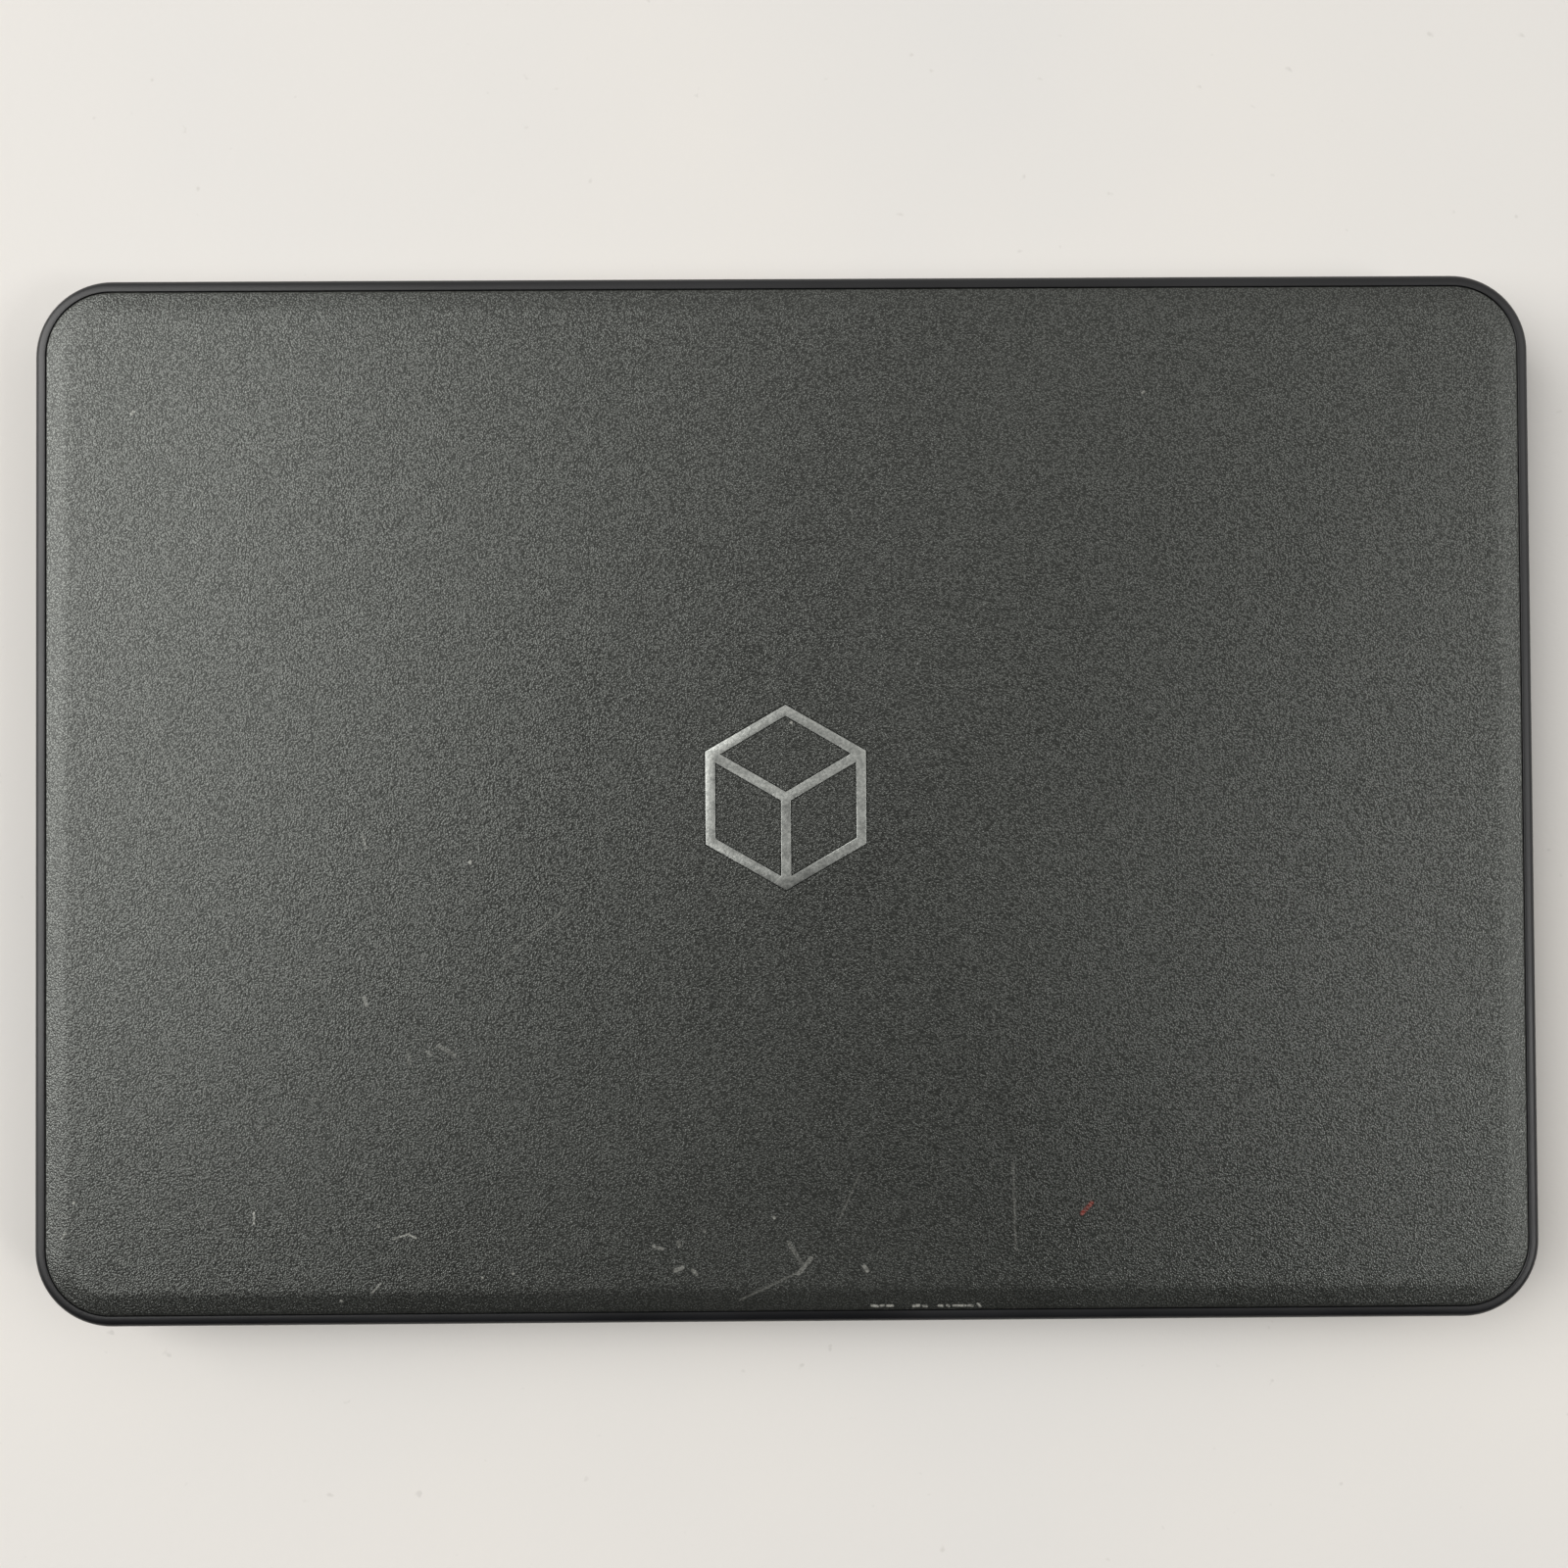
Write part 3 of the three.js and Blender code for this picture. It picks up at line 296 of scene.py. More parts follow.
class Shader:
    """Builds one node material around a Principled shader, in object coordinates."""

    def __init__(self, name, colour, roughness, metallic=0.0):
        self.material = bpy.data.materials.new(name)
        self.material.use_nodes = True
        self.nodes = self.material.node_tree.nodes
        self.links = self.material.node_tree.links
        self.main = self.nodes["Principled BSDF"]
        self.main.inputs["Base Color"].default_value = (*colour, 1)
        self.main.inputs["Roughness"].default_value = roughness
        self.main.inputs["Metallic"].default_value = metallic
        self.place = self.nodes.new("ShaderNodeTexCoord").outputs["Object"]
        self.normal = None

    def add(self, kind, inputs=None, **settings):
        node = self.nodes.new("ShaderNode" + kind)
        for key, value in settings.items():
            setattr(node, key, value)
        for key, value in (inputs or {}).items():
            self.feed(node.inputs[key], value)
        return node

    def feed(self, socket, value):
        if isinstance(value, bpy.types.NodeSocket):
            self.links.new(value, socket)
        else:
            socket.default_value = value

    def math(self, operation, a, b=0.0):
        return self.add("Math", {0: a, 1: b}, operation=operation).outputs[0]

    def ramp(self, value, low, high, out_low=0.0, out_high=1.0):
        """value mapped from low..high to out_low..out_high, held at the ends."""
        inputs = {"Value": value, "From Min": low, "From Max": high, "To Min": out_low,
                  "To Max": out_high}
        return self.add("MapRange", inputs, clamp=True).outputs[0]

    def stretch(self, scale):
        """Object coordinates scaled on each axis; the larger scale packs the pattern tighter."""
        return self.add("Mapping", {"Vector": self.place, "Scale": scale}).outputs[0]

    def noise(self, scale, detail, distortion=0.0, place=None):
        """Noise with features about 1 / scale metres across."""
        inputs = {"Vector": place or self.place, "Scale": scale, "Detail": detail,
                  "Roughness": 0.5, "Distortion": distortion}
        return self.add("TexNoise", inputs).outputs[0]

    def cells(self, scale, place, smooth=0.6):
        """Distance from the middle of smoothed cells about 1 / scale metres across."""
        inputs = {"Vector": place, "Scale": scale, "Smoothness": smooth}
        return self.add("TexVoronoi", inputs, feature="SMOOTH_F1").outputs["Distance"]

    def bump(self, height, depth):
        """Adds relief; depth is the height in millimetres of a value of one."""
        inputs = {"Height": height, "Distance": depth * MM, "Strength": 1.0}
        if self.normal:
            inputs["Normal"] = self.normal
        self.normal = self.add("Bump", inputs).outputs[0]
        self.feed(self.main.inputs["Normal"], self.normal)

    def colour(self, factor, a, b):
        """a where factor is 0, b where it is 1; a and b are colours or sockets."""
        node = self.add("Mix", {0: factor}, data_type="RGBA")
        for socket, value in ((node.inputs[6], a), (node.inputs[7], b)):
            self.feed(socket, value if isinstance(value, bpy.types.NodeSocket) else (*value, 1))
        return node.outputs[2]

    def shifted(self, scale, amount):
        """Object coordinates pushed about by noise, by up to amount millimetres."""
        noise = self.add("TexNoise", {"Vector": self.place, "Scale": scale, "Detail": 2.0})
        centred = self.add("VectorMath", {0: noise.outputs["Color"], 1: (0.5, 0.5, 0.5)},
                           operation="SUBTRACT").outputs[0]
        push = self.add("VectorMath", {0: centred, 3: 2 * amount * MM}, operation="SCALE")
        inputs = {0: self.place, 1: push.outputs[0]}
        return self.add("VectorMath", inputs, operation="ADD").outputs[0]

    def set(self, **inputs):
        names = {"base": "Base Color", "rough": "Roughness", "coat": "Coat Weight",
                 "coat_rough": "Coat Roughness", "level": "Specular IOR Level",
                 "tone": "Specular Tint"}
        for key, value in inputs.items():
            self.feed(self.main.inputs[names[key]], value)


def tint(colour, factor):
    return tuple(min(channel * factor, 1) for channel in colour)


def near(shader, start, end, width, feather):
    """1 on a line between two points on the lid in millimetres, fading to 0 beyond its width."""
    a, b = Vector((*start, 0)) * MM, Vector((*end, 0)) * MM
    along = (b - a).normalized()
    length = (b - a).length

    def vector(operation, inputs, output=0):
        return shader.add("VectorMath", inputs, operation=operation).outputs[output]

    flat = vector("MULTIPLY", {0: shader.place, 1: (1, 1, 0)})
    offset = vector("SUBTRACT", {0: flat, 1: a})
    travel = vector("DOT_PRODUCT", {0: offset, 1: along}, "Value")
    held = shader.add("Clamp", {"Value": travel, "Min": 0.0, "Max": length}).outputs[0]
    foot = vector("SCALE", {0: along, 3: held})
    gap = vector("DISTANCE", {0: offset, 1: foot}, "Value")
    return shader.ramp(gap, width * MM, (width + feather) * MM, 1.0, 0.0)


# ------------------------------------------------------------------ materials

LID_GREY = (0.0155, 0.0162, 0.0148)
RUBBER_BLACK = (0.005, 0.0053, 0.0064)


def lid_plastic():
    """Pebbled satin plastic with rubbed patches, hairlines, specks and a few scuffs, and a painted
    highlight in the middle of each pebble.
    """
    s = Shader("lid_plastic", LID_GREY, 0.5)
    pebble = s.cells(2700, place=s.shifted(1650, 0.2), smooth=0.35)
    cloud = s.noise(11, 4, 0.6)
    pebble_glint = s.ramp(pebble, 0.15, 0.6)
    base = s.colour(s.ramp(cloud, 0.35, 0.7), tint(LID_GREY, 0.88), tint(LID_GREY, 1.15))
    # painted highlight: the middle of each pebble is painted lighter, standing in for the glints on
    # the grain's relief
    base = s.colour(pebble_glint, tint(LID_GREY, 1.5), base)
    base = s.colour(marks(s, LIGHT_MARKS), base, (0.36, 0.36, 0.33))
    base = s.colour(marks(s, DARK_MARKS), base, tint(LID_GREY, 0.4))
    base = s.colour(marks(s, RED_MARKS), base, (0.22, 0.03, 0.02))
    rough = s.ramp(cloud, 0.3, 0.75, 0.29, 0.36)
    s.set(base=base, rough=rough, level=s.ramp(pebble_glint, 0, 1, 1.9, 0.55), tone=(0.96, 1.0, 0.95, 1))
    height = s.add("SeparateXYZ", {0: s.place}).outputs["Z"]
    flat = s.ramp(height, (LID_TOP - 0.98) * MM, (LID_TOP - 0.82) * MM, 0.1, 1)
    s.bump(s.math("MULTIPLY", pebble, flat), 0.08)
    s.bump(s.math("MULTIPLY", s.noise(4200, 2), flat), 0.015)
    return s.material


# Wear on the lid as strokes in millimetres from its centre: start, end, half width, strength.
LIGHT_MARKS = [
    ((69.0, 13.6), (69.1, 13.8), 0.22, 1.0),
    ((142.4, -85.4), (142.9, -84.9), 0.2, 0.7),
    ((-1.3, -16.4), (-1.2, -16.3), 0.16, 0.8),
    ((-79.0, -88.5), (-79.3, -88.7), 0.15, 0.6),
    ((155.4, 87.1), (155.4, 87.3), 0.14, 0.9),
    ((158.1, 94.8), (157.2, 93.7), 0.1, 0.5),
    ((92.5, 7.8), (91.7, 10.6), 0.1, 0.4),
    ((116.3, 89.6), (116.3, 92.0), 0.07, 0.8),
    ((86.1, 95.6), (82.8, 94.5), 0.07, 0.6),
    ((82.8, 94.5), (81.1, 95.4), 0.08, 0.7),
    ((89.3, 92.7), (89.1, 92.9), 0.1, 0.6),
    ((90.6, 107.1), (88.9, 105.2), 0.06, 0.5),
    ((66.7, 104.0), (66.6, 104.1), 0.12, 0.8),
    ((60.0, 103.1), (60.0, 103.3), 0.12, 0.8),
    ((97.5, 108.9), (97.3, 109.0), 0.14, 0.7),
    ((29.4, 97.6), (27.5, 98.1), 0.25, 0.4),
    ((24.0, 96.7), (23.8, 97.5), 0.3, 0.28),
    ((24.7, 102.8), (23.2, 102.2), 0.35, 0.42),
    ((20.9, 102.9), (20.1, 103.7), 0.3, 0.35),
    ((18.5, 94.2), (18.2, 94.5), 0.15, 0.4),
    ((3.2, 91.4), (3.1, 91.6), 0.14, 1.0),
    ((-0.0, 97.0), (-3.3, 102.2), 0.3, 0.2),
    ((-4.9, 100.4), (-2.1, 103.7), 0.35, 0.35),
    ((10.6, 109.4), (-1.6, 103.6), 0.1, 0.22),
    ((-16.5, 102.3), (-17.1, 103.2), 0.3, 0.65),
    ((-15.6, 82.2), (-10.6, 93.2), 0.1, 0.14),
    ((-49.1, 80.2), (-49.5, 99.0), 0.1, 0.18),
    ((-18.0, 110.9), (-19.3, 111.1), 0.13, 0.9),
    ((-20.0, 111.0), (-20.6, 110.9), 0.12, 0.7),
    ((-21.4, 111.0), (-22.6, 111.0), 0.13, 0.85),
    ((-27.2, 111.1), (-28.4, 111.0), 0.18, 0.8),
    ((-29.3, 111.1), (-30.0, 111.2), 0.14, 0.65),
    ((-32.7, 111.1), (-33.5, 111.1), 0.13, 0.9),
    ((-34.5, 111.0), (-34.9, 111.2), 0.12, 0.7),
    ((-35.9, 111.1), (-38.5, 111.1), 0.12, 0.85),
    ((-39.2, 111.1), (-40.1, 111.2), 0.14, 0.8),
    ((-41.2, 110.7), (-41.7, 111.3), 0.12, 0.9),
    ((62.5, 35.1), (48.7, 24.3), 0.1, 0.16),
    ((92.2, 43.1), (91.7, 44.8), 0.3, 0.35),
    ((82.6, 55.1), (82.4, 57.6), 0.25, 0.2),
    ((78.5, 54.9), (77.7, 55.5), 0.25, 0.3),
    ((76.2, 53.6), (72.5, 55.8), 0.3, 0.28),
    ((140.0, -20.0), (128.0, 8.0), 0.1, 0.1),
]
DARK_MARKS = [
    ((-55.0, -4.5), (-72.0, -1.0), 0.2, 0.4),
    ((-72.0, -1.0), (-90.0, -5.0), 0.2, 0.35),
    ((-95.0, -33.0), (-96.5, -31.0), 0.2, 0.4),
    ((-84.0, 60.0), (-88.0, 66.0), 0.2, 0.3),
    ((60.0, -3.0), (52.0, 2.0), 0.2, 0.25),
    ((50.4, -21.3), (32.6, -27.2), 0.15, 0.3),
    ((85.3, 34.8), (80.4, 37.3), 0.12, 0.35),
    ((-15.1, -33.9), (-37.0, -33.9), 0.15, 0.35),
]
RED_MARKS = [((-64.0, 91.1), (-66.2, 88.8), 0.3, 0.85)]


def marks(s, strokes):
    """A mask of the strokes, broken up like real scuffs."""
    total = 0.0
    for start, end, width, strength in strokes:
        stroke = s.math("MULTIPLY", near(s, start, end, width, 0.25), strength)
        total = s.math("MAXIMUM", stroke, total)
    return s.math("MULTIPLY", total, s.ramp(s.noise(1900, 2), 0.4, 0.58, 0.4, 1.0))


def rim_rubber():
    """Smooth matte rubber with a fine mould texture and a little dust."""
    s = Shader("rim_rubber", RUBBER_BLACK, 0.55)
    cloud = s.noise(25, 3)
    base = s.colour(s.ramp(cloud, 0.4, 0.75), RUBBER_BLACK, tint(RUBBER_BLACK, 1.35))
    s.set(base=base, rough=s.ramp(cloud, 0.3, 0.7, 0.32, 0.44), level=0.5)
    s.bump(s.noise(2600, 2), 0.012)
    return s.material


def satin_silver():
    """Fine-grained dull silver for the emblem."""
    s = Shader("satin_silver", (0.42, 0.44, 0.42), 0.42, 1.0)
    grain = s.noise(1700, 2)
    base = s.colour(s.ramp(grain, 0.35, 0.65), (0.33, 0.345, 0.33), (0.5, 0.515, 0.49))
    s.set(base=base, rough=s.ramp(s.noise(400, 3), 0.3, 0.7, 0.34, 0.46))
    s.bump(grain, 0.03)
    return s.material


@functools.cache
def simple(name, colour, rough, metal=0.0, grain=900, depth=0.015, stretch=None, coat=0.0):
    """A finish with cloudy colour and roughness over a fine grain; stretch draws the grain out."""
    s = Shader(name, colour, rough, metal)
    fine = s.noise(grain, 3, place=s.stretch(stretch) if stretch else None)
    broad = s.noise(30, 4)
    base = s.colour(s.ramp(broad, 0.3, 0.7), tint(colour, 0.85), tint(colour, 1.15))
    base = s.colour(s.ramp(fine, 0.5, 0.8, 0, 0.5), base, tint(colour, 1.45))
    s.set(base=base, rough=s.ramp(broad, 0.3, 0.7, rough - 0.07, rough + 0.07), level=0.5,
          coat=coat, coat_rough=0.2)
    s.bump(fine, depth)
    return s.material


@functools.cache
def shell_plastic():
    """Spark-textured moulded plastic: fine grain, edges rubbed slightly paler, a little dust."""
    colour = (0.026, 0.027, 0.029)
    s = Shader("shell_plastic", colour, 0.5)
    soft = s.add("Bevel", {"Radius": 0.25 * MM}, samples=4).outputs[0]
    plain = s.add("NewGeometry").outputs["Normal"]
    match = s.add("VectorMath", {0: soft, 1: plain}, operation="DOT_PRODUCT").outputs["Value"]
    s.normal = soft
    grain = s.cells(1900, place=s.shifted(1200, 0.2))
    cloud = s.noise(14, 4)
    base = s.colour(s.ramp(cloud, 0.3, 0.7), tint(colour, 0.85), tint(colour, 1.15))
    base = s.colour(s.ramp(s.noise(2200, 2), 0.55, 0.75, 0, 0.5), base, tint(colour, 1.9))
    patches = s.ramp(s.noise(120, 3), 0.35, 0.65, 0, 0.5)
    rubbed = s.math("MULTIPLY", s.ramp(match, 0.99, 0.9), patches)
    base = s.colour(rubbed, base, tint(colour, 2.6))
    s.set(base=base, rough=s.ramp(cloud, 0.3, 0.7, 0.42, 0.56), level=0.45)
    s.bump(grain, 0.05)
    return s.material


@functools.cache
def key_plastic():
    """Smooth matte caps, a touch shinier where fingers land."""
    s = Shader("key_plastic", (0.012, 0.012, 0.013), 0.5)
    worn = s.noise(45, 3)
    grain = s.ramp(s.noise(1400, 3), 0.45, 0.8)
    base = s.colour(grain, (0.011, 0.011, 0.012), (0.019, 0.019, 0.02))
    s.set(base=base, rough=s.ramp(worn, 0.3, 0.7, 0.38, 0.56), level=0.45)
    s.bump(s.noise(3000, 2), 0.01)
    return s.material


@functools.cache
def key_print():
    s = Shader("key_print", (0.62, 0.63, 0.64), 0.5)
    base = s.colour(s.ramp(s.noise(900, 3), 0.4, 0.7), (0.66, 0.67, 0.68), (0.48, 0.49, 0.5))
    s.set(base=base)
    s.bump(s.noise(2500, 2), 0.008)
    return s.material


@functools.cache
def touchpad_finish():
    """Silky pad with a faint polished patch in the middle and hairline swirls."""
    colour = (0.022, 0.023, 0.025)
    s = Shader("touchpad_surface", colour, 0.38)
    x0, x1, y0, y1 = span("touchpad")[:4]
    centre = ((x0 + x1) / 2 * MM, (y0 + y1) / 2 * MM, DECK * MM)
    far = s.add("VectorMath", {0: s.place, 1: centre}, operation="DISTANCE").outputs["Value"]
    used = s.ramp(far, 0.012, 0.04, 0.0, 1.0)
    hair = s.noise(700, 2, place=s.stretch((1, 12, 1)))
    base = s.colour(s.ramp(s.noise(1800, 2), 0.4, 0.8), tint(colour, 0.9), tint(colour, 1.35))
    rough = s.math("ADD", s.ramp(used, 0, 1, 0.27, 0.4), s.ramp(hair, 0.45, 0.75, 0, 0.06))
    s.set(base=base, rough=rough, level=0.5)
    s.bump(s.noise(2600, 2), 0.006)
    return s.material


@functools.cache
def display_gloss():
    """Dark panel switched off: a black border, a faintly blue active area, smudges and dust."""
    s = Shader("display_gloss", (0.006, 0.006, 0.008), 0.16)
    split = s.add("SeparateXYZ", {0: s.place})
    middle = (SCREEN_FRONT + SCREEN_BACK) / 2 * MM
    across = s.math("ABSOLUTE", split.outputs["X"])
    along = s.math("ABSOLUTE", s.math("SUBTRACT", split.outputs["Y"], middle))
    lit = s.math("MULTIPLY", s.math("LESS_THAN", across, SCREEN_HALF * MM),
                 s.math("LESS_THAN", along, (SCREEN_BACK - SCREEN_FRONT) / 2 * MM))
    smudge = s.ramp(s.noise(28, 5, 1.5), 0.5, 0.72)
    dust = s.ramp(s.noise(1300, 2), 0.74, 0.8)
    base = s.colour(lit, (0.003, 0.003, 0.0035), (0.010, 0.011, 0.015))
    base = s.colour(s.math("MULTIPLY", dust, 0.5), base, (0.2, 0.2, 0.19))
    s.set(base=base, rough=s.ramp(smudge, 0, 1, 0.13, 0.24), level=0.5)
    s.bump(s.noise(4000, 2), 0.002)
    return s.material


@functools.cache
def lens_glass():
    s = Shader("lens_glass", (0.004, 0.004, 0.008), 0.06)
    cloud = s.ramp(s.noise(900, 2), 0.3, 0.7)
    base = s.colour(cloud, (0.003, 0.003, 0.006), (0.008, 0.007, 0.014))
    s.set(base=base, coat=1.0, coat_rough=0.03)
    return s.material


@functools.cache
def circuit_board():
    """Solder mask over faint copper tracks, with pale pads."""
    s = Shader("circuit_board", (0.01, 0.07, 0.035), 0.35)
    pattern = {"Vector": s.place, "Color1": (0, 0, 0, 1), "Color2": (1, 1, 1, 1),
               "Scale": 350.0, "Mortar Size": 0.03}
    tracks = s.add("TexBrick", pattern).outputs["Fac"]
    base = s.colour(tracks, (0.008, 0.06, 0.03), (0.016, 0.11, 0.05))
    pads = s.ramp(s.noise(420, 2), 0.68, 0.7)
    base = s.colour(pads, base, (0.45, 0.42, 0.33))
    s.set(base=base, rough=s.ramp(pads, 0, 1, 0.3, 0.45))
    s.bump(tracks, 0.02)
    return s.material


BRUSHED = (1, 14, 1)
OWN_FINISHES = {
    "display_gloss": display_gloss,
    "shell_plastic": shell_plastic,
    "key_plastic": key_plastic,
    "touchpad_surface": touchpad_finish,
    "circuit_board": circuit_board,
}
# colour, roughness, metallic, grain scale, grain depth and how the grain is drawn out
SIMPLE_FINISHES = {
    "bezel_plastic": ((0.015, 0.015, 0.017), 0.45, 0.0, 1500, 0.02),
    "foot_rubber": ((0.014, 0.014, 0.015), 0.75, 0.0, 1100, 0.03),
    "black_plastic": ((0.01, 0.01, 0.011), 0.42, 0.0, 1300),
    "steel": ((0.5, 0.51, 0.52), 0.32, 1.0, 1500, 0.006, BRUSHED),
    "dark_steel": ((0.09, 0.09, 0.1), 0.4, 1.0, 1500, 0.008),
    "copper": ((0.62, 0.3, 0.17), 0.33, 1.0, 1200, 0.006, BRUSHED),
    "battery_wrap": ((0.016, 0.016, 0.018), 0.3, 0.0, 300, 0.03),
    "port_shell": ((0.62, 0.63, 0.65), 0.24, 1.0, 1800, 0.004),
    "flat_cable": ((0.7, 0.7, 0.67), 0.35, 0.0, 900, 0.015, (1, 8, 1)),
}


def gold():
    return simple("contact_gold", (0.85, 0.6, 0.25), 0.28, 1.0, 2000, 0.003)


def finish(slot):
    if slot in OWN_FINISHES:
        return OWN_FINISHES[slot]()
    return simple(slot, *SIMPLE_FINISHES[slot])


# ------------------------------------------------------------------ lid


def crown(inset):
    """Height of the lid's skin in from the outline: a curled edge, a sloping band, then flat."""
    edge = inset - LID_EDGE
    slope = math.log(1 + math.exp((BAND_WIDTH - edge) / BAND_SOFTNESS))
    return LID_TOP - BAND_SLOPE * BAND_SOFTNESS * slope - CURL_DROP * math.exp(-edge / CURL_WIDTH)


def hinge_pockets():
    """Cutters for the round channels in the lid that clear the hinge covers."""
    length = POCKET_OUTER - POCKET_INNER
    rod = [(0, 0), (POCKET_RADIUS, 0), (POCKET_RADIUS, length), (0, length)]
    starts = (-POCKET_OUTER, POCKET_INNER)
    return [lathe("rod", rod, (x, HINGE_Y, HINGE_Z), "X", 32) for x in starts]


def hexagon(radius):
    return arc(0, 0, radius, 90, 300, 5)


def badge_loops(grow=0.0):
    """A hexagon outline with three spokes: the outer loop and its three windows."""
    outer = hexagon(BADGE_RADIUS + grow / math.cos(math.pi / 6))
    inside = BADGE_RADIUS - (BADGE_STROKE + grow) / math.cos(math.pi / 6)
    inner = [Vector(point) for point in hexagon(inside)]
    shrink = 1 - (BADGE_STROKE / 2 + grow) / (inner[0].length * math.sin(math.pi / 3))
    loops = [outer]
    for k in (0, 2, 4):
        fixed = inner[k + 1]
        quad = [inner[k], fixed, inner[(k + 2) % 6], Vector((0, 0))]
        loops.append([tuple((p - fixed) * shrink + fixed) for p in quad])
    return loops


def lid_shell():
    """The grained back panel: a hollow cover whose insets gather where its skin bends."""
    wall, bottom = LID_EDGE + 1.9, BEZEL_TOP + 0.1
    inside = [(36, 19.0), (LID_EDGE + 3, 19.0), (wall, 18.6), (wall, bottom)]
    insets = [LID_EDGE + 0.08 * i for i in range(8)]
    insets += [3.6, 4.2, 5, 5.8, 6.4, 6.8, 7.1, 7.4, 7.7, 8, 8.4, 9, 10, 13, 36]
    skin = [(LID_EDGE, bottom)] + [(inset, crown(inset)) for inset in insets]
    obj = lid_loft("lid_shell", inside + skin)
    recess = sheet("recess", badge_loops(0.22), LID_TOP - 0.55, LID_TOP + 1, 0)
    carve(obj, hinge_pockets() + [recess])
    piece(obj, "lid", lid_plastic(), "lid_plastic", "lid_back_cover")


def rim():
    """The rubber hoop: a rounded outer edge, a gently sloping top and a bead against the panel."""
    side = arc(1.7, RIM_TOP - 1.75, 1.7, 180, -78, 8)
    profile = [(RIM_WIDTH, RIM_BOTTOM), (0.9, RIM_BOTTOM), (0.35, 13.75), (0.05, 14.3)]
    profile += side + [(2.2, RIM_TOP), (2.5, RIM_TOP - 0.03)]
    profile += [(RIM_WIDTH, RIM_TOP - 0.14), (RIM_WIDTH + 0.04, RIM_TOP - 0.5)]
    obj = lid_loft("lid_rim", profile, hoop=True, steps=24)
    carve(obj, hinge_pockets())
    piece(obj, "lid", rim_rubber(), "rim_rubber", "lid_rim_bumper")


def emblem():
    obj = sheet("emblem", badge_loops(), LID_TOP - 0.4, LID_TOP - 0.02, 0.12, 2)
    piece(obj, "lid", satin_silver(), "emblem_metal", "lid_emblem")


def bezel():
    """The screen surround: a rounded window, holes for camera and lamp, two pin-hole mics."""
    wide, front, back = SCREEN_HALF + 0.5, SCREEN_FRONT - 0.5, SCREEN_BACK + 0.5
    window = rounded(-wide, wide, front, back, 1, 4)
    holes = [arc(0, CAMERA_Y, 2.2, 0, 345, 23)]
    holes += [arc(x, CAMERA_Y, 0.45, 0, 330, 11) for x in (-24, 24)]
    holes.append(arc(CAMERA_LAMP_X, CAMERA_Y, 0.6, 0, 330, 11))
    obj = sheet("bezel", [lid_ring(LID_EDGE), window] + holes, BEZEL_BOTTOM, BEZEL_TOP, 0.3, 2)
    low, high = HINGE_Y - 3.6, HINGE_Y + 0.4
    slots = [block("slot", x - 8, x + 8, low, high, 12, 16, 0) for x in (-118, 118)]
    carve(obj, slots + hinge_pockets())
    piece(obj, "lid", finish("bezel_plastic"), "bezel_plastic", "display_bezel")


def camera_lens():
    """A ring with a domed glass in it, and the small lamp beside it."""
    face = BEZEL_BOTTOM + 0.1
    mount = [(0, 13.72), (2.05, 13.72), (2.05, face + 0.08), (1.95, face), (1.6, face)]
    mount += [(1.45, face + 0.1), (0, face + 0.1)]
    ring = wear(lathe("ring", mount, (0, CAMERA_Y, 0)), finish("black_plastic"))
    dome = [(0, face + 0.2), (1.4, face + 0.2), (1.2, face + 0.05), (0.7, face - 0.02)]
    dome += [(0, face - 0.05)]
    glass = wear(lathe("glass", dome, (0, CAMERA_Y, 0)), lens_glass())
    lamp = [(0, 13.9), (0.5, 13.9), (0.5, face + 0.1), (0.3, face), (0, face)]
    light = lathe("light", lamp, (CAMERA_LAMP_X, CAMERA_Y, 0), steps=16)
    wear(light, simple("lamp_window", (0.5, 0.52, 0.5), 0.25, coat=0.5))
    piece(merge("camera_lens", [ring, glass, light]), "lid", None, "display_gloss")


# ------------------------------------------------------------------ base shells, feet and screws


def soften(node):
    """Smooth shading on a CAD node's curved faces, with its corners kept sharp."""
    obj = frame["nodes"][node]
    obj.data.polygons.foreach_set("use_smooth", [True] * len(obj.data.polygons))
    weld_points = obj.modifiers.new("weld", "WELD")
    weld_points.merge_threshold = 0.002 * MM
    split = obj.modifiers.new("edges", "EDGE_SPLIT")
    split.split_angle = math.radians(32)
    flatten = obj.modifiers.new("flatten", "WEIGHTED_NORMAL")
    flatten.weight = 100


def feet():
    rubber = finish("foot_rubber")
    for place in ("front", "rear"):
        for side in ("left", "right"):
            node = f"foot_{place}_{side}"
            x0, x1, y0, y1, z0, z1 = span(node)
            profile = [(1.0, z0), (0.45, z0 + 0.12), (0.12, z0 + 0.4), (0, z0 + 0.8), (0, z1)]
            rings = [[(x, y, z) for x, y in rounded(x0 + i, x1 - i, y0 + i, y1 - i, 4.4 - i)]
                     for i, z in profile]
            piece(loft(node + "_pad", rings), "base", rubber, "foot_rubber", node)


def screws():
    """Pan-head screws with a cross recess."""
    shank = [(0, 9.1), (0.9, 9.1), (1.2, 8.7), (1.2, 2.05)]
    head = [(2.9, 2.05), (2.9, 1.62), (2.75, 1.45), (2.4, 1.34), (1.9, 1.3), (0, 1.3)]
    first = lathe("screw", shank + head, (0, 0, 0), steps=32)
    carve(first, [block("slot", -1.5, 1.5, -0.32, 0.32, 1, 1.85, 0.1),
                  block("slot", -0.32, 0.32, -1.5, 1.5, 1, 1.85, 0.1)])
    for place in ("front", "middle", "rear"):
        for side in ("left", "right"):
            node = f"base_screw_{place}_{side}"
            x0, x1, y0, y1 = span(node)[:4]
            mesh = first.data.copy()
            mesh.transform(Matrix.Translation((Vector((x0 + x1, y0 + y1, 0)) * MM / 2)))
            obj = link(bpy.data.objects.new(node + "_head", mesh))
            piece(obj, "base", finish("dark_steel"), "steel", node)
    bpy.data.objects.remove(first)


# ------------------------------------------------------------------ keyboard and touchpad

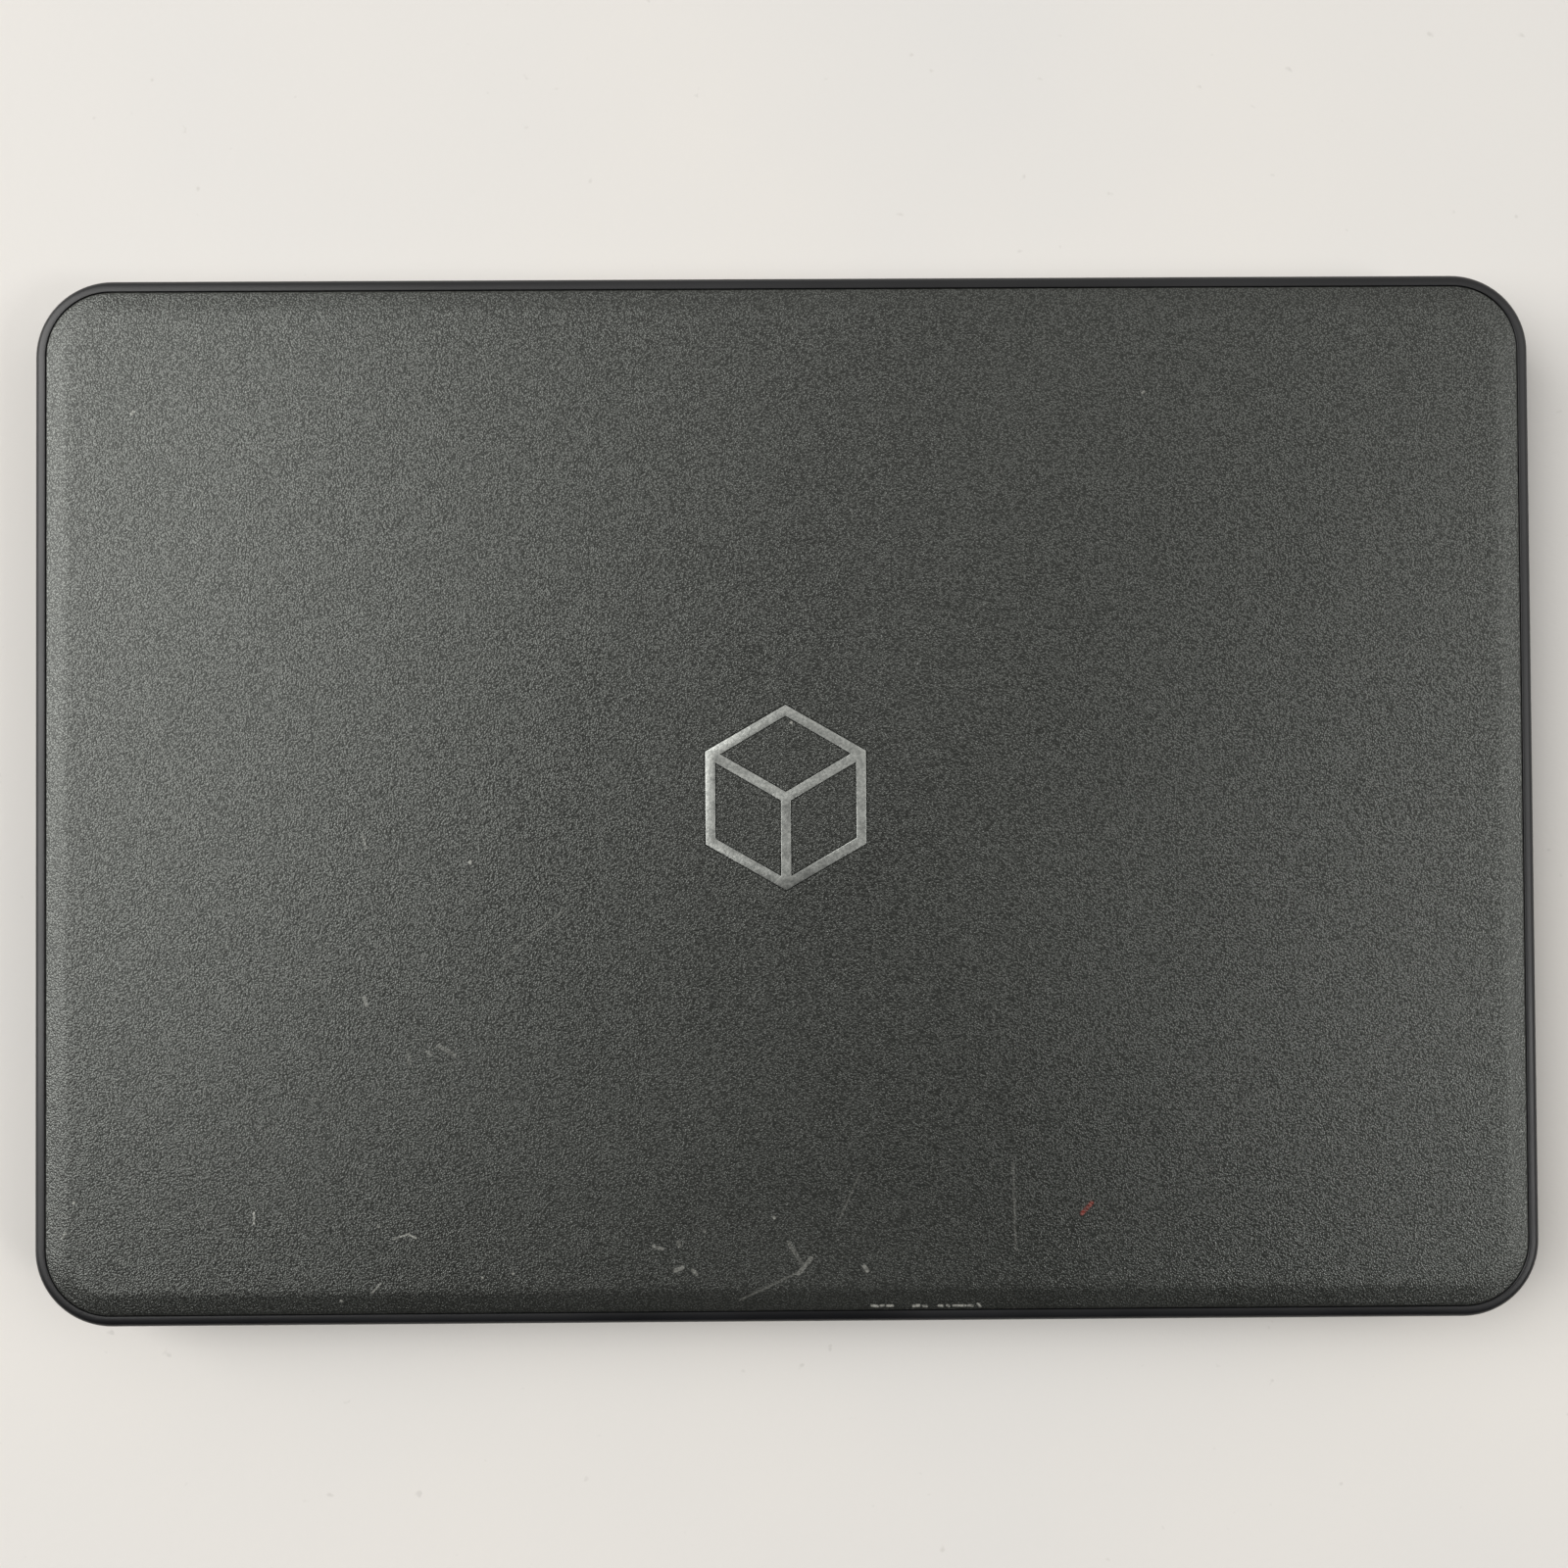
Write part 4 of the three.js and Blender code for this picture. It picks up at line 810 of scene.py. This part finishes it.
KEY_UNITS = [
    [15 / 16] * 16,
    [1] * 13 + [2],
    [1.5] + [1] * 12 + [1.5],
    [1.75] + [1] * 11 + [2.25],
    [2.25] + [1] * 10 + [2.75],
    [1.25, 1, 1, 1, 5.5, 1, 1.25, 1, 1, 1],
]
LEGENDS = [
    ["esc"] + [f"F{i}" for i in range(1, 13)] + ["prt", "del", ""],
    ["`", *"1234567890-=", "back"],
    ["tab", *"QWERTYUIOP[]", "\\"],
    ["caps", *"ASDFGHJKL;'", "enter"],
    ["shift", *"ZXCVBNM,./", "shift"],
    ["ctrl", "fn", "", "alt", "", "alt", "ctrl", "", "", ""],
]
SHIFTED = dict(zip("`1234567890-=[]\\;',./", "~!@#$%^&*()_+{}|:\"<>?"))
POWER_KEY = (0, 15, "")
MARKED_KEY = (5, 2, "")
MOVING = {
    (3, 12, ""): "enter_key",
    (5, 4, ""): "space_bar",
    (5, 7, "front"): "arrow_left_key",
    (5, 8, "back"): "arrow_up_key",
    (5, 8, "front"): "arrow_down_key",
    (5, 9, "front"): "arrow_right_key",
    POWER_KEY: "power_button",
}
ARROW_TURNS = {(5, 7, "front"): 180, (5, 8, "back"): 90, (5, 8, "front"): 270, (5, 9, "front"): 0}


def key_layout():
    """Every key as (row, column, half), centre x and y, width, height and legend."""
    keys = []
    for row, units in enumerate(KEY_UNITS):
        tall = KEY_ROW_PITCH if row else KEY_TOP_ROW_PITCH
        y = KEYS_FRONT + (5 - row) * KEY_ROW_PITCH + tall / 2
        x = -sum(units) * KEY_PITCH / 2
        for column, unit in enumerate(units):
            wide = unit * KEY_PITCH
            size = (wide - KEY_GAP, tall - KEY_GAP)
            centre = x + wide / 2
            if row == 5 and column > 6:
                shift = (size[1] - HALF_KEY) / 2
                text = {7: "pg up", 9: "pg dn"}.get(column, "")
                keys.append(((row, column, "back"), centre, y + shift, size[0], HALF_KEY, text))
                keys.append(((row, column, "front"), centre, y - shift, size[0], HALF_KEY, ""))
            else:
                keys.append(((row, column, ""), centre, y, *size, LEGENDS[row][column]))
            x += wide
    return keys


def keycap(x, y, w, h):
    """A cap whose sides lean in to a rounded edge and a softly dished top."""
    dish = min(3.6, h / 2 - 0.9)
    profile = [(0, KEY_UNDER - 0.3), (0.05, KEY_UNDER), (0.34, 11.9), (0.42, 12.3), (0.56, 12.55),
               (0.8, 12.7), (1.1, KEY_TOP), (dish * 0.6, KEY_TOP - 0.05), (dish, KEY_TOP - 0.08)]
    rings = []
    for inset, z in profile:
        radius = (max(2.2 - inset * 0.4, 0.8), max(1.1 - inset * 0.3, 0.4))
        if inset > 1.5:
            radius = 0.4
        left, right = x - w / 2 + inset, x + w / 2 - inset
        front, back = y - h / 2 + inset, y + h / 2 - inset
        rings.append([(px, py, z) for px, py in rounded(left, right, front, back, radius, 4)])
    return wear(loft("cap", rings, sharp=60), key_plastic())


def printed(body, x, y, size, align="LEFT"):
    """Lettering flush with the top of a key, from its top left corner."""
    curve = bpy.data.curves.new("print", "FONT")
    curve.body = body
    curve.size = size * MM
    curve.extrude = 0.03 * MM
    curve.resolution_u = 3
    curve.align_x = align
    curve.align_y = "TOP_BASELINE"
    obj = from_curve("print", curve, KEY_TOP - 0.02)
    obj.data.transform(Matrix.Translation(Vector((x, y, 0)) * MM))
    return wear(obj, key_print())


def sign(name, loops):
    """A flat printed mark a hair above the top of a key."""
    return wear(sheet(name, loops, KEY_TOP - 0.14, KEY_TOP + 0.01, 0), key_print())


def arrowhead(x, y, turn):
    cos, sin = math.cos(math.radians(turn)), math.sin(math.radians(turn))
    corners = [(1.5, 0), (-1.0, 1.35), (-1.0, -1.35)]
    return sign("arrow", [[(x + a * cos - b * sin, y + a * sin + b * cos) for a, b in corners]])


def power_sign(x, y):
    ring = sign("ring", [arc(x, y, 1.5, 120, 300, 24) + arc(x, y, 1.22, 60, -300, 24)])
    bar = block("bar", x - 0.15, x + 0.15, y + 0.3, y + 1.8, KEY_TOP - 0.14, KEY_TOP + 0.01, 0)
    return [ring, wear(bar, key_print())]


def legend(label, x, y, w, h, text):
    """What is printed on one key: letters, digits and plain signs."""
    left, top = x - w / 2 + 2.3, y + h / 2 - 4.6
    if label in ARROW_TURNS:
        return [arrowhead(x, y, ARROW_TURNS[label])]
    if label == POWER_KEY:
        return power_sign(x, y - 0.2)
    if label == MARKED_KEY:
        return [sign("mark", [arc(x, y, radius, 0, 350, 35) for radius in (2.1, 1.75)])]
    if not text:
        return []
    if h < 10:
        return [printed(text, x, y - 0.75, 2.5, "CENTER")]
    if text in SHIFTED:
        upper = printed(SHIFTED[text], left, top + 0.3, 3.3)
        return [upper, printed(text, left, top - 5.6, 3.6)]
    if len(text) == 1:
        return [printed(text, left, top - 0.1, 4.4)]
    return [printed(text, left, top - 5.4, 3.1)]


def keyboard():
    fixed = []
    for label, x, y, w, h, text in key_layout():
        made = [keycap(x, y, w, h)] + legend(label, x, y, w, h, text)
        if label in MOVING:
            node = MOVING[label]
            piece(merge(node + "_cap", made), node, None, "key_plastic", node)
        else:
            fixed += made
    x0, x1, y0, y1, z0 = span("key_field")[:5]
    domes = block("dome_sheet", x0, x1, y0, y1, z0, z0 + 0.5, 0.1)
    fixed.append(wear(domes, finish("black_plastic")))
    piece(merge("keycaps", fixed), "base", None, "key_plastic", "key_field")


def touchpad():
    x0, x1, y0, y1, z0, z1 = span("touchpad")
    profile = [(0, z1 - 1), (0, z1 - 0.25), (0.08, z1 - 0.08), (0.25, z1)]
    rings = [[(x, y, z) for x, y in rounded(x0 + i, x1 - i, y0 + i, y1 - i, 3 - i, 10)]
             for i, z in profile]
    pad = wear(loft("pad", rings), touchpad_finish())
    board = block("board", x0 + 3, x1 - 3, y0 + 5, y1 - 6, z0, z1 - 1.05, 0.1)
    wear(board, circuit_board())
    piece(merge("touchpad_plate", [pad, board]), "touchpad", None, "touchpad_surface", "touchpad")


# ------------------------------------------------------------------ ports


def sleeve(ring, wall, depth):
    """A drawn metal sleeve, its rounded mouth at x 0; ring(inset) is its outline in (y, z)."""
    steps = [(wall / 2, 0), (0, wall / 2), (0, depth), (wall, depth), (wall, wall / 2)]
    rings = [[(x, y, z) for y, z in ring(inset)] for inset, x in steps]
    return wear(loft("sleeve", rings, hoop=True), finish("port_shell"))


def oblong(width, height, radius):
    """A rounded rectangle's outline, as a function of how far in it is moved."""
    def ring(inset):
        w, h = width / 2 - inset, height / 2 - inset
        return rounded(-w, w, -h, h, max(radius - inset, 0.1), 5)
    return ring


def monitor_ring(inset):
    """The monitor socket's outline: square above, tapered below."""
    w, top, low = 7.5 - inset, 2.8 - inset, 1.1 - inset * 0.4
    return [(w, top), (-w, top), (-w, -low), (-w + 1.7, -top), (w - 1.7, -top), (w, -low)]


def collar(outer, inner):
    """A moulded surround that brings a square opening in the shell in to the socket's own shape."""
    rings = [(outer, 0), (outer, -0.9), (inner, -0.9), (inner, 0)]
    rings = [[(x, y, z) for y, z in ring] for ring, x in rings]
    return wear(loft("collar", rings, hoop=True, sharp=20), finish("shell_plastic"))


def contacts(count, pitch, first, z, x0, x1, thick, wide):
    """A row of gold contacts along a tongue, the first centred at y = first."""
    row = []
    for i in range(count):
        low = first + i * pitch - wide / 2
        strip = block("contact", x0, x1, low, low + wide, z - thick / 2, z + thick / 2, 0.05)
        row.append(wear(strip, gold()))
    return row


def dark_block(name, x0, x1, width, z0, z1, radius):
    """A black plastic block centred on the port."""
    part = block(name, x0, x1, -width / 2, width / 2, z0, z1, radius)
    return wear(part, finish("black_plastic"))


def plug_back(depth, width, height):
    return dark_block("back", depth - 1.5, depth - 0.05, width, -height / 2, height / 2, 0.1)


def tongue(x0, x1, width, z0, z1):
    return dark_block("tongue", x0, x1, width, z0, z1, 0.15)


def wide_data():
    parts = [sleeve(oblong(13.1, 5.7, 0.5), 0.35, 14), plug_back(14, 12.5, 5.1)]
    parts.append(tongue(1.2, 13, 11.2, 0.3, 2.1))
    parts += contacts(4, 2.4, -3.6, 0.27, 2.2, 11, 0.16, 1.1)
    for y in (-3.2, 3.2):
        spring = block("spring", 2.5, 7.5, y - 1, y + 1, -2.52, -2.2, 0.12)
        parts.append(wear(spring, finish("port_shell")))
    return parts


def small_data():
    parts = [sleeve(oblong(9, 3.2, 1.6), 0.3, 9), plug_back(9, 8.3, 2.5)]
    parts.append(tongue(0.8, 8, 6.6, -0.35, 0.35))
    parts.append(collar(oblong(9.38, 3.58, 0.1)(0), oblong(9, 3.2, 1.6)(0.05)))
    return parts + contacts(8, 0.7, -2.45, 0.36, 1.2, 5.5, 0.08, 0.3)


def monitor():
    parts = [sleeve(monitor_ring, 0.4, 11.5), tongue(1.2, 10.5, 11.4, -0.9, 0.5)]
    parts.append(dark_block("back", 10, 11.4, 10.8, -2.2, 2.2, 0.1))
    w, h, low = 7.69, 2.99, 1.1
    square = [(w, h), (-w, h), (-w, -low), (-w, -h), (w, -h), (w, -low)]
    parts.append(collar(square, monitor_ring(0.05)))
    return parts + contacts(10, 1.0, -4.5, 0.52, 1.6, 8, 0.08, 0.4)


def network():
    body = block("housing", 0, 13.8, -7.4, 7.4, -4.45, 4.45, 0.25)
    mouth = block("mouth", -1, 12, -6, 6, -2.6, 3.9, 0.2)
    carve(body, [mouth, block("latch", -1, 12, -3.1, 3.1, -4, -2, 0.1)])
    parts = [wear(body, finish("black_plastic"))]
    for i in range(8):
        y = -3.57 + 1.02 * i
        wire = block("wire", 1.6, 11, y - 0.2, y + 0.2, -0.12, 0.12, 0.06)
        wire.data.transform(Matrix.Translation((0, 0, 2.7 * MM)) @ Matrix.Rotation(0.14, 4, "Y"))
        parts.append(wear(wire, gold()))
    return parts


def round_socket(outer, bore, depth, metal):
    """A socket sleeve closed at the back, with a block behind it."""
    mouth = [(outer, 0.3), (outer - 0.25, 0), (bore + 0.2, 0.05), (bore, 0.35)]
    cup = [(0, depth), (outer, depth)] + mouth + [(bore, depth - 1.5), (0, depth - 1.5)]
    return wear(lathe("socket", cup, (0, 0, 0), "X"), metal)


def power_inlet():
    pin = lathe("pin", [(0, 1.4), (0.32, 1.5), (0.5, 1.9), (0.5, 10), (0, 10)], (0, 0, 0), "X", 20)
    liner = round_socket(2.75, 2.45, 10.4, finish("port_shell"))
    liner.data.transform(Matrix.Translation((0.5 * MM, 0, 0)))
    back = dark_block("body", 10.9, 12, 10, -3.4, 3.4, 0.2)
    return [round_socket(3.5, 2.78, 11, finish("black_plastic")), liner,
            wear(pin, finish("port_shell")), back]


def headset():
    back = dark_block("body", 11.9, 13, 6.6, -3.2, 3.2, 0.2)
    return [round_socket(3.2, 1.85, 12, finish("black_plastic")), back]


def seat_port(node, parts):
    """Puts a port built with its mouth at x 0 into the laptop's left or right side."""
    x0, x1, y0, y1, z0, z1 = span(node)
    left = x0 < 0
    turn = Matrix() if left else Matrix.Rotation(math.pi, 4, "Z")
    obj = merge(node + "_detail", parts)
    face = x0 if left else x1
    height = (z0 + z1) / 2 if node == "ethernet_port" else PORT_HEIGHT
    obj.data.transform(Matrix.Translation(Vector((face, (y0 + y1) / 2, height)) * MM) @ turn)
    slot = "port_shell" if "usb" in node or "hdmi" in node else "black_plastic"
    piece(obj, "base", None, slot, node)


def ports():
    seat_port("usb_a_port_left", wide_data())
    seat_port("usb_a_port_right", wide_data())
    seat_port("usb_c_port", small_data())
    seat_port("hdmi_port", monitor())
    seat_port("ethernet_port", network())
    seat_port("dc_in_jack", power_inlet())
    seat_port("audio_jack", headset())


# ------------------------------------------------------------------ floor and light


def pale_floor():
    s = Shader("pale_floor", (0.8, 0.77, 0.735), 0.6)
    cloud = s.noise(6, 4)
    base = s.colour(s.ramp(cloud, 0.35, 0.7), (0.735, 0.72, 0.7), (0.775, 0.748, 0.712))
    specks = s.ramp(s.noise(240, 2), 0.72, 0.78)
    s.set(base=s.colour(specks, base, (0.66, 0.64, 0.61)), level=0.3)
    s.bump(s.noise(500, 3), 0.05)
    return s.material


def add_floor():
    half = 4000
    corners = [(-half, -half, 0), (half, -half, 0), (half, half, 0), (-half, half, 0)]
    wear(make("floor", corners, [(0, 1, 2, 3)]), pale_floor())


def softbox(name, direction, distance, size, radiance):
    """A square area light out along a direction, facing the laptop."""
    data = bpy.data.lights.new(name, "AREA")
    data.size = size
    data.energy = radiance * math.pi * size**2
    data.color = (1.0, 0.99, 0.97)
    light = link(bpy.data.objects.new(name, data))
    light.location = Vector(direction).normalized() * distance
    light.rotation_euler = Vector(direction).to_track_quat("Z", "Y").to_euler()
    light.visible_camera = False


ROOM_LIGHT = 0.53
BACKDROP_LIGHT = 0.78
LEANING = (-0.03, 0.42, 0.91)


def add_world():
    """A pale room, darker towards +Y and above, as if someone leaned over the laptop."""
    world = bpy.data.worlds.new("room")
    world.use_nodes = True
    nodes, links = world.node_tree.nodes, world.node_tree.links

    def ramp(value, low, high, out_low, out_high):
        node = nodes.new("ShaderNodeMapRange")
        links.new(value, node.inputs[0])
        for i, number in enumerate((low, high, out_low, out_high)):
            node.inputs[i + 1].default_value = number
        return node.outputs[0]

    def times(a, b):
        node = nodes.new("ShaderNodeMath")
        node.operation = "MULTIPLY"
        links.new(a, node.inputs[0])
        links.new(b, node.inputs[1])
        return node.outputs[0]

    toward = nodes.new("ShaderNodeTexCoord").outputs["Generated"]
    split = nodes.new("ShaderNodeSeparateXYZ")
    links.new(toward, split.inputs[0])
    lean = nodes.new("ShaderNodeVectorMath")
    lean.operation = "DOT_PRODUCT"
    links.new(toward, lean.inputs[0])
    lean.inputs[1].default_value = Vector(LEANING).normalized()
    body = ramp(split.outputs["Y"], -0.35, 0.5, ROOM_LIGHT * 1.07, ROOM_LIGHT * 0.03)
    head = ramp(lean.outputs["Value"], 0.87, 0.965, 1.0, 0.02)
    pick = nodes.new("ShaderNodeMix")
    links.new(nodes.new("ShaderNodeLightPath").outputs["Is Camera Ray"], pick.inputs[0])
    links.new(times(body, head), pick.inputs[2])
    pick.inputs[3].default_value = BACKDROP_LIGHT
    background = nodes["Background"]
    links.new(pick.outputs[0], background.inputs["Strength"])
    background.inputs["Color"].default_value = (0.99, 0.97, 0.94, 1)
    bpy.context.scene.world = world


CAMERA_PLACE = (2.0, 2.2, 363.8)
CAMERA_TURN = (-0.86, 0.27, 0.36)


def add_camera():
    """Straight above the lid, with the front edge at the top of the frame."""
    camera = link(bpy.data.objects.new("camera", bpy.data.cameras.new("camera")))
    camera.data.sensor_width = 36
    camera.data.lens = 36
    camera.data.clip_start = 0.01
    tilt_x, tilt_y, roll = (math.radians(angle) for angle in CAMERA_TURN)
    small = (Matrix.Rotation(roll, 4, "Z") @ Matrix.Rotation(tilt_x, 4, "X")
             @ Matrix.Rotation(tilt_y, 4, "Y"))
    turn = Matrix.Rotation(math.pi, 4, "Z") @ small.inverted()
    camera.matrix_world = Matrix.Translation(Vector(CAMERA_PLACE) * MM) @ turn
    bpy.context.scene.camera = camera


lid_shell()
rim()
emblem()
bezel()
camera_lens()
feet()
screws()
keyboard()
touchpad()
ports()
for name, node in frame["nodes"].items():
    if not node.hide_render:
        soften(name)
        node.data.materials[0] = finish(node.data.materials[0].name)
add_floor()
add_world()
softbox("window_light", (0.95, -0.22, 1.0), 4.0, 3.4, 4.2)
softbox("fill_light", (-0.95, -0.2, 1.0), 4.0, 2.0, 1.7)
softbox("edge_light", (-0.94, 0.36, 1.0), 3.0, 0.6, 13.0)
add_camera()
scene = bpy.context.scene
scene.view_settings.view_transform = "Standard"
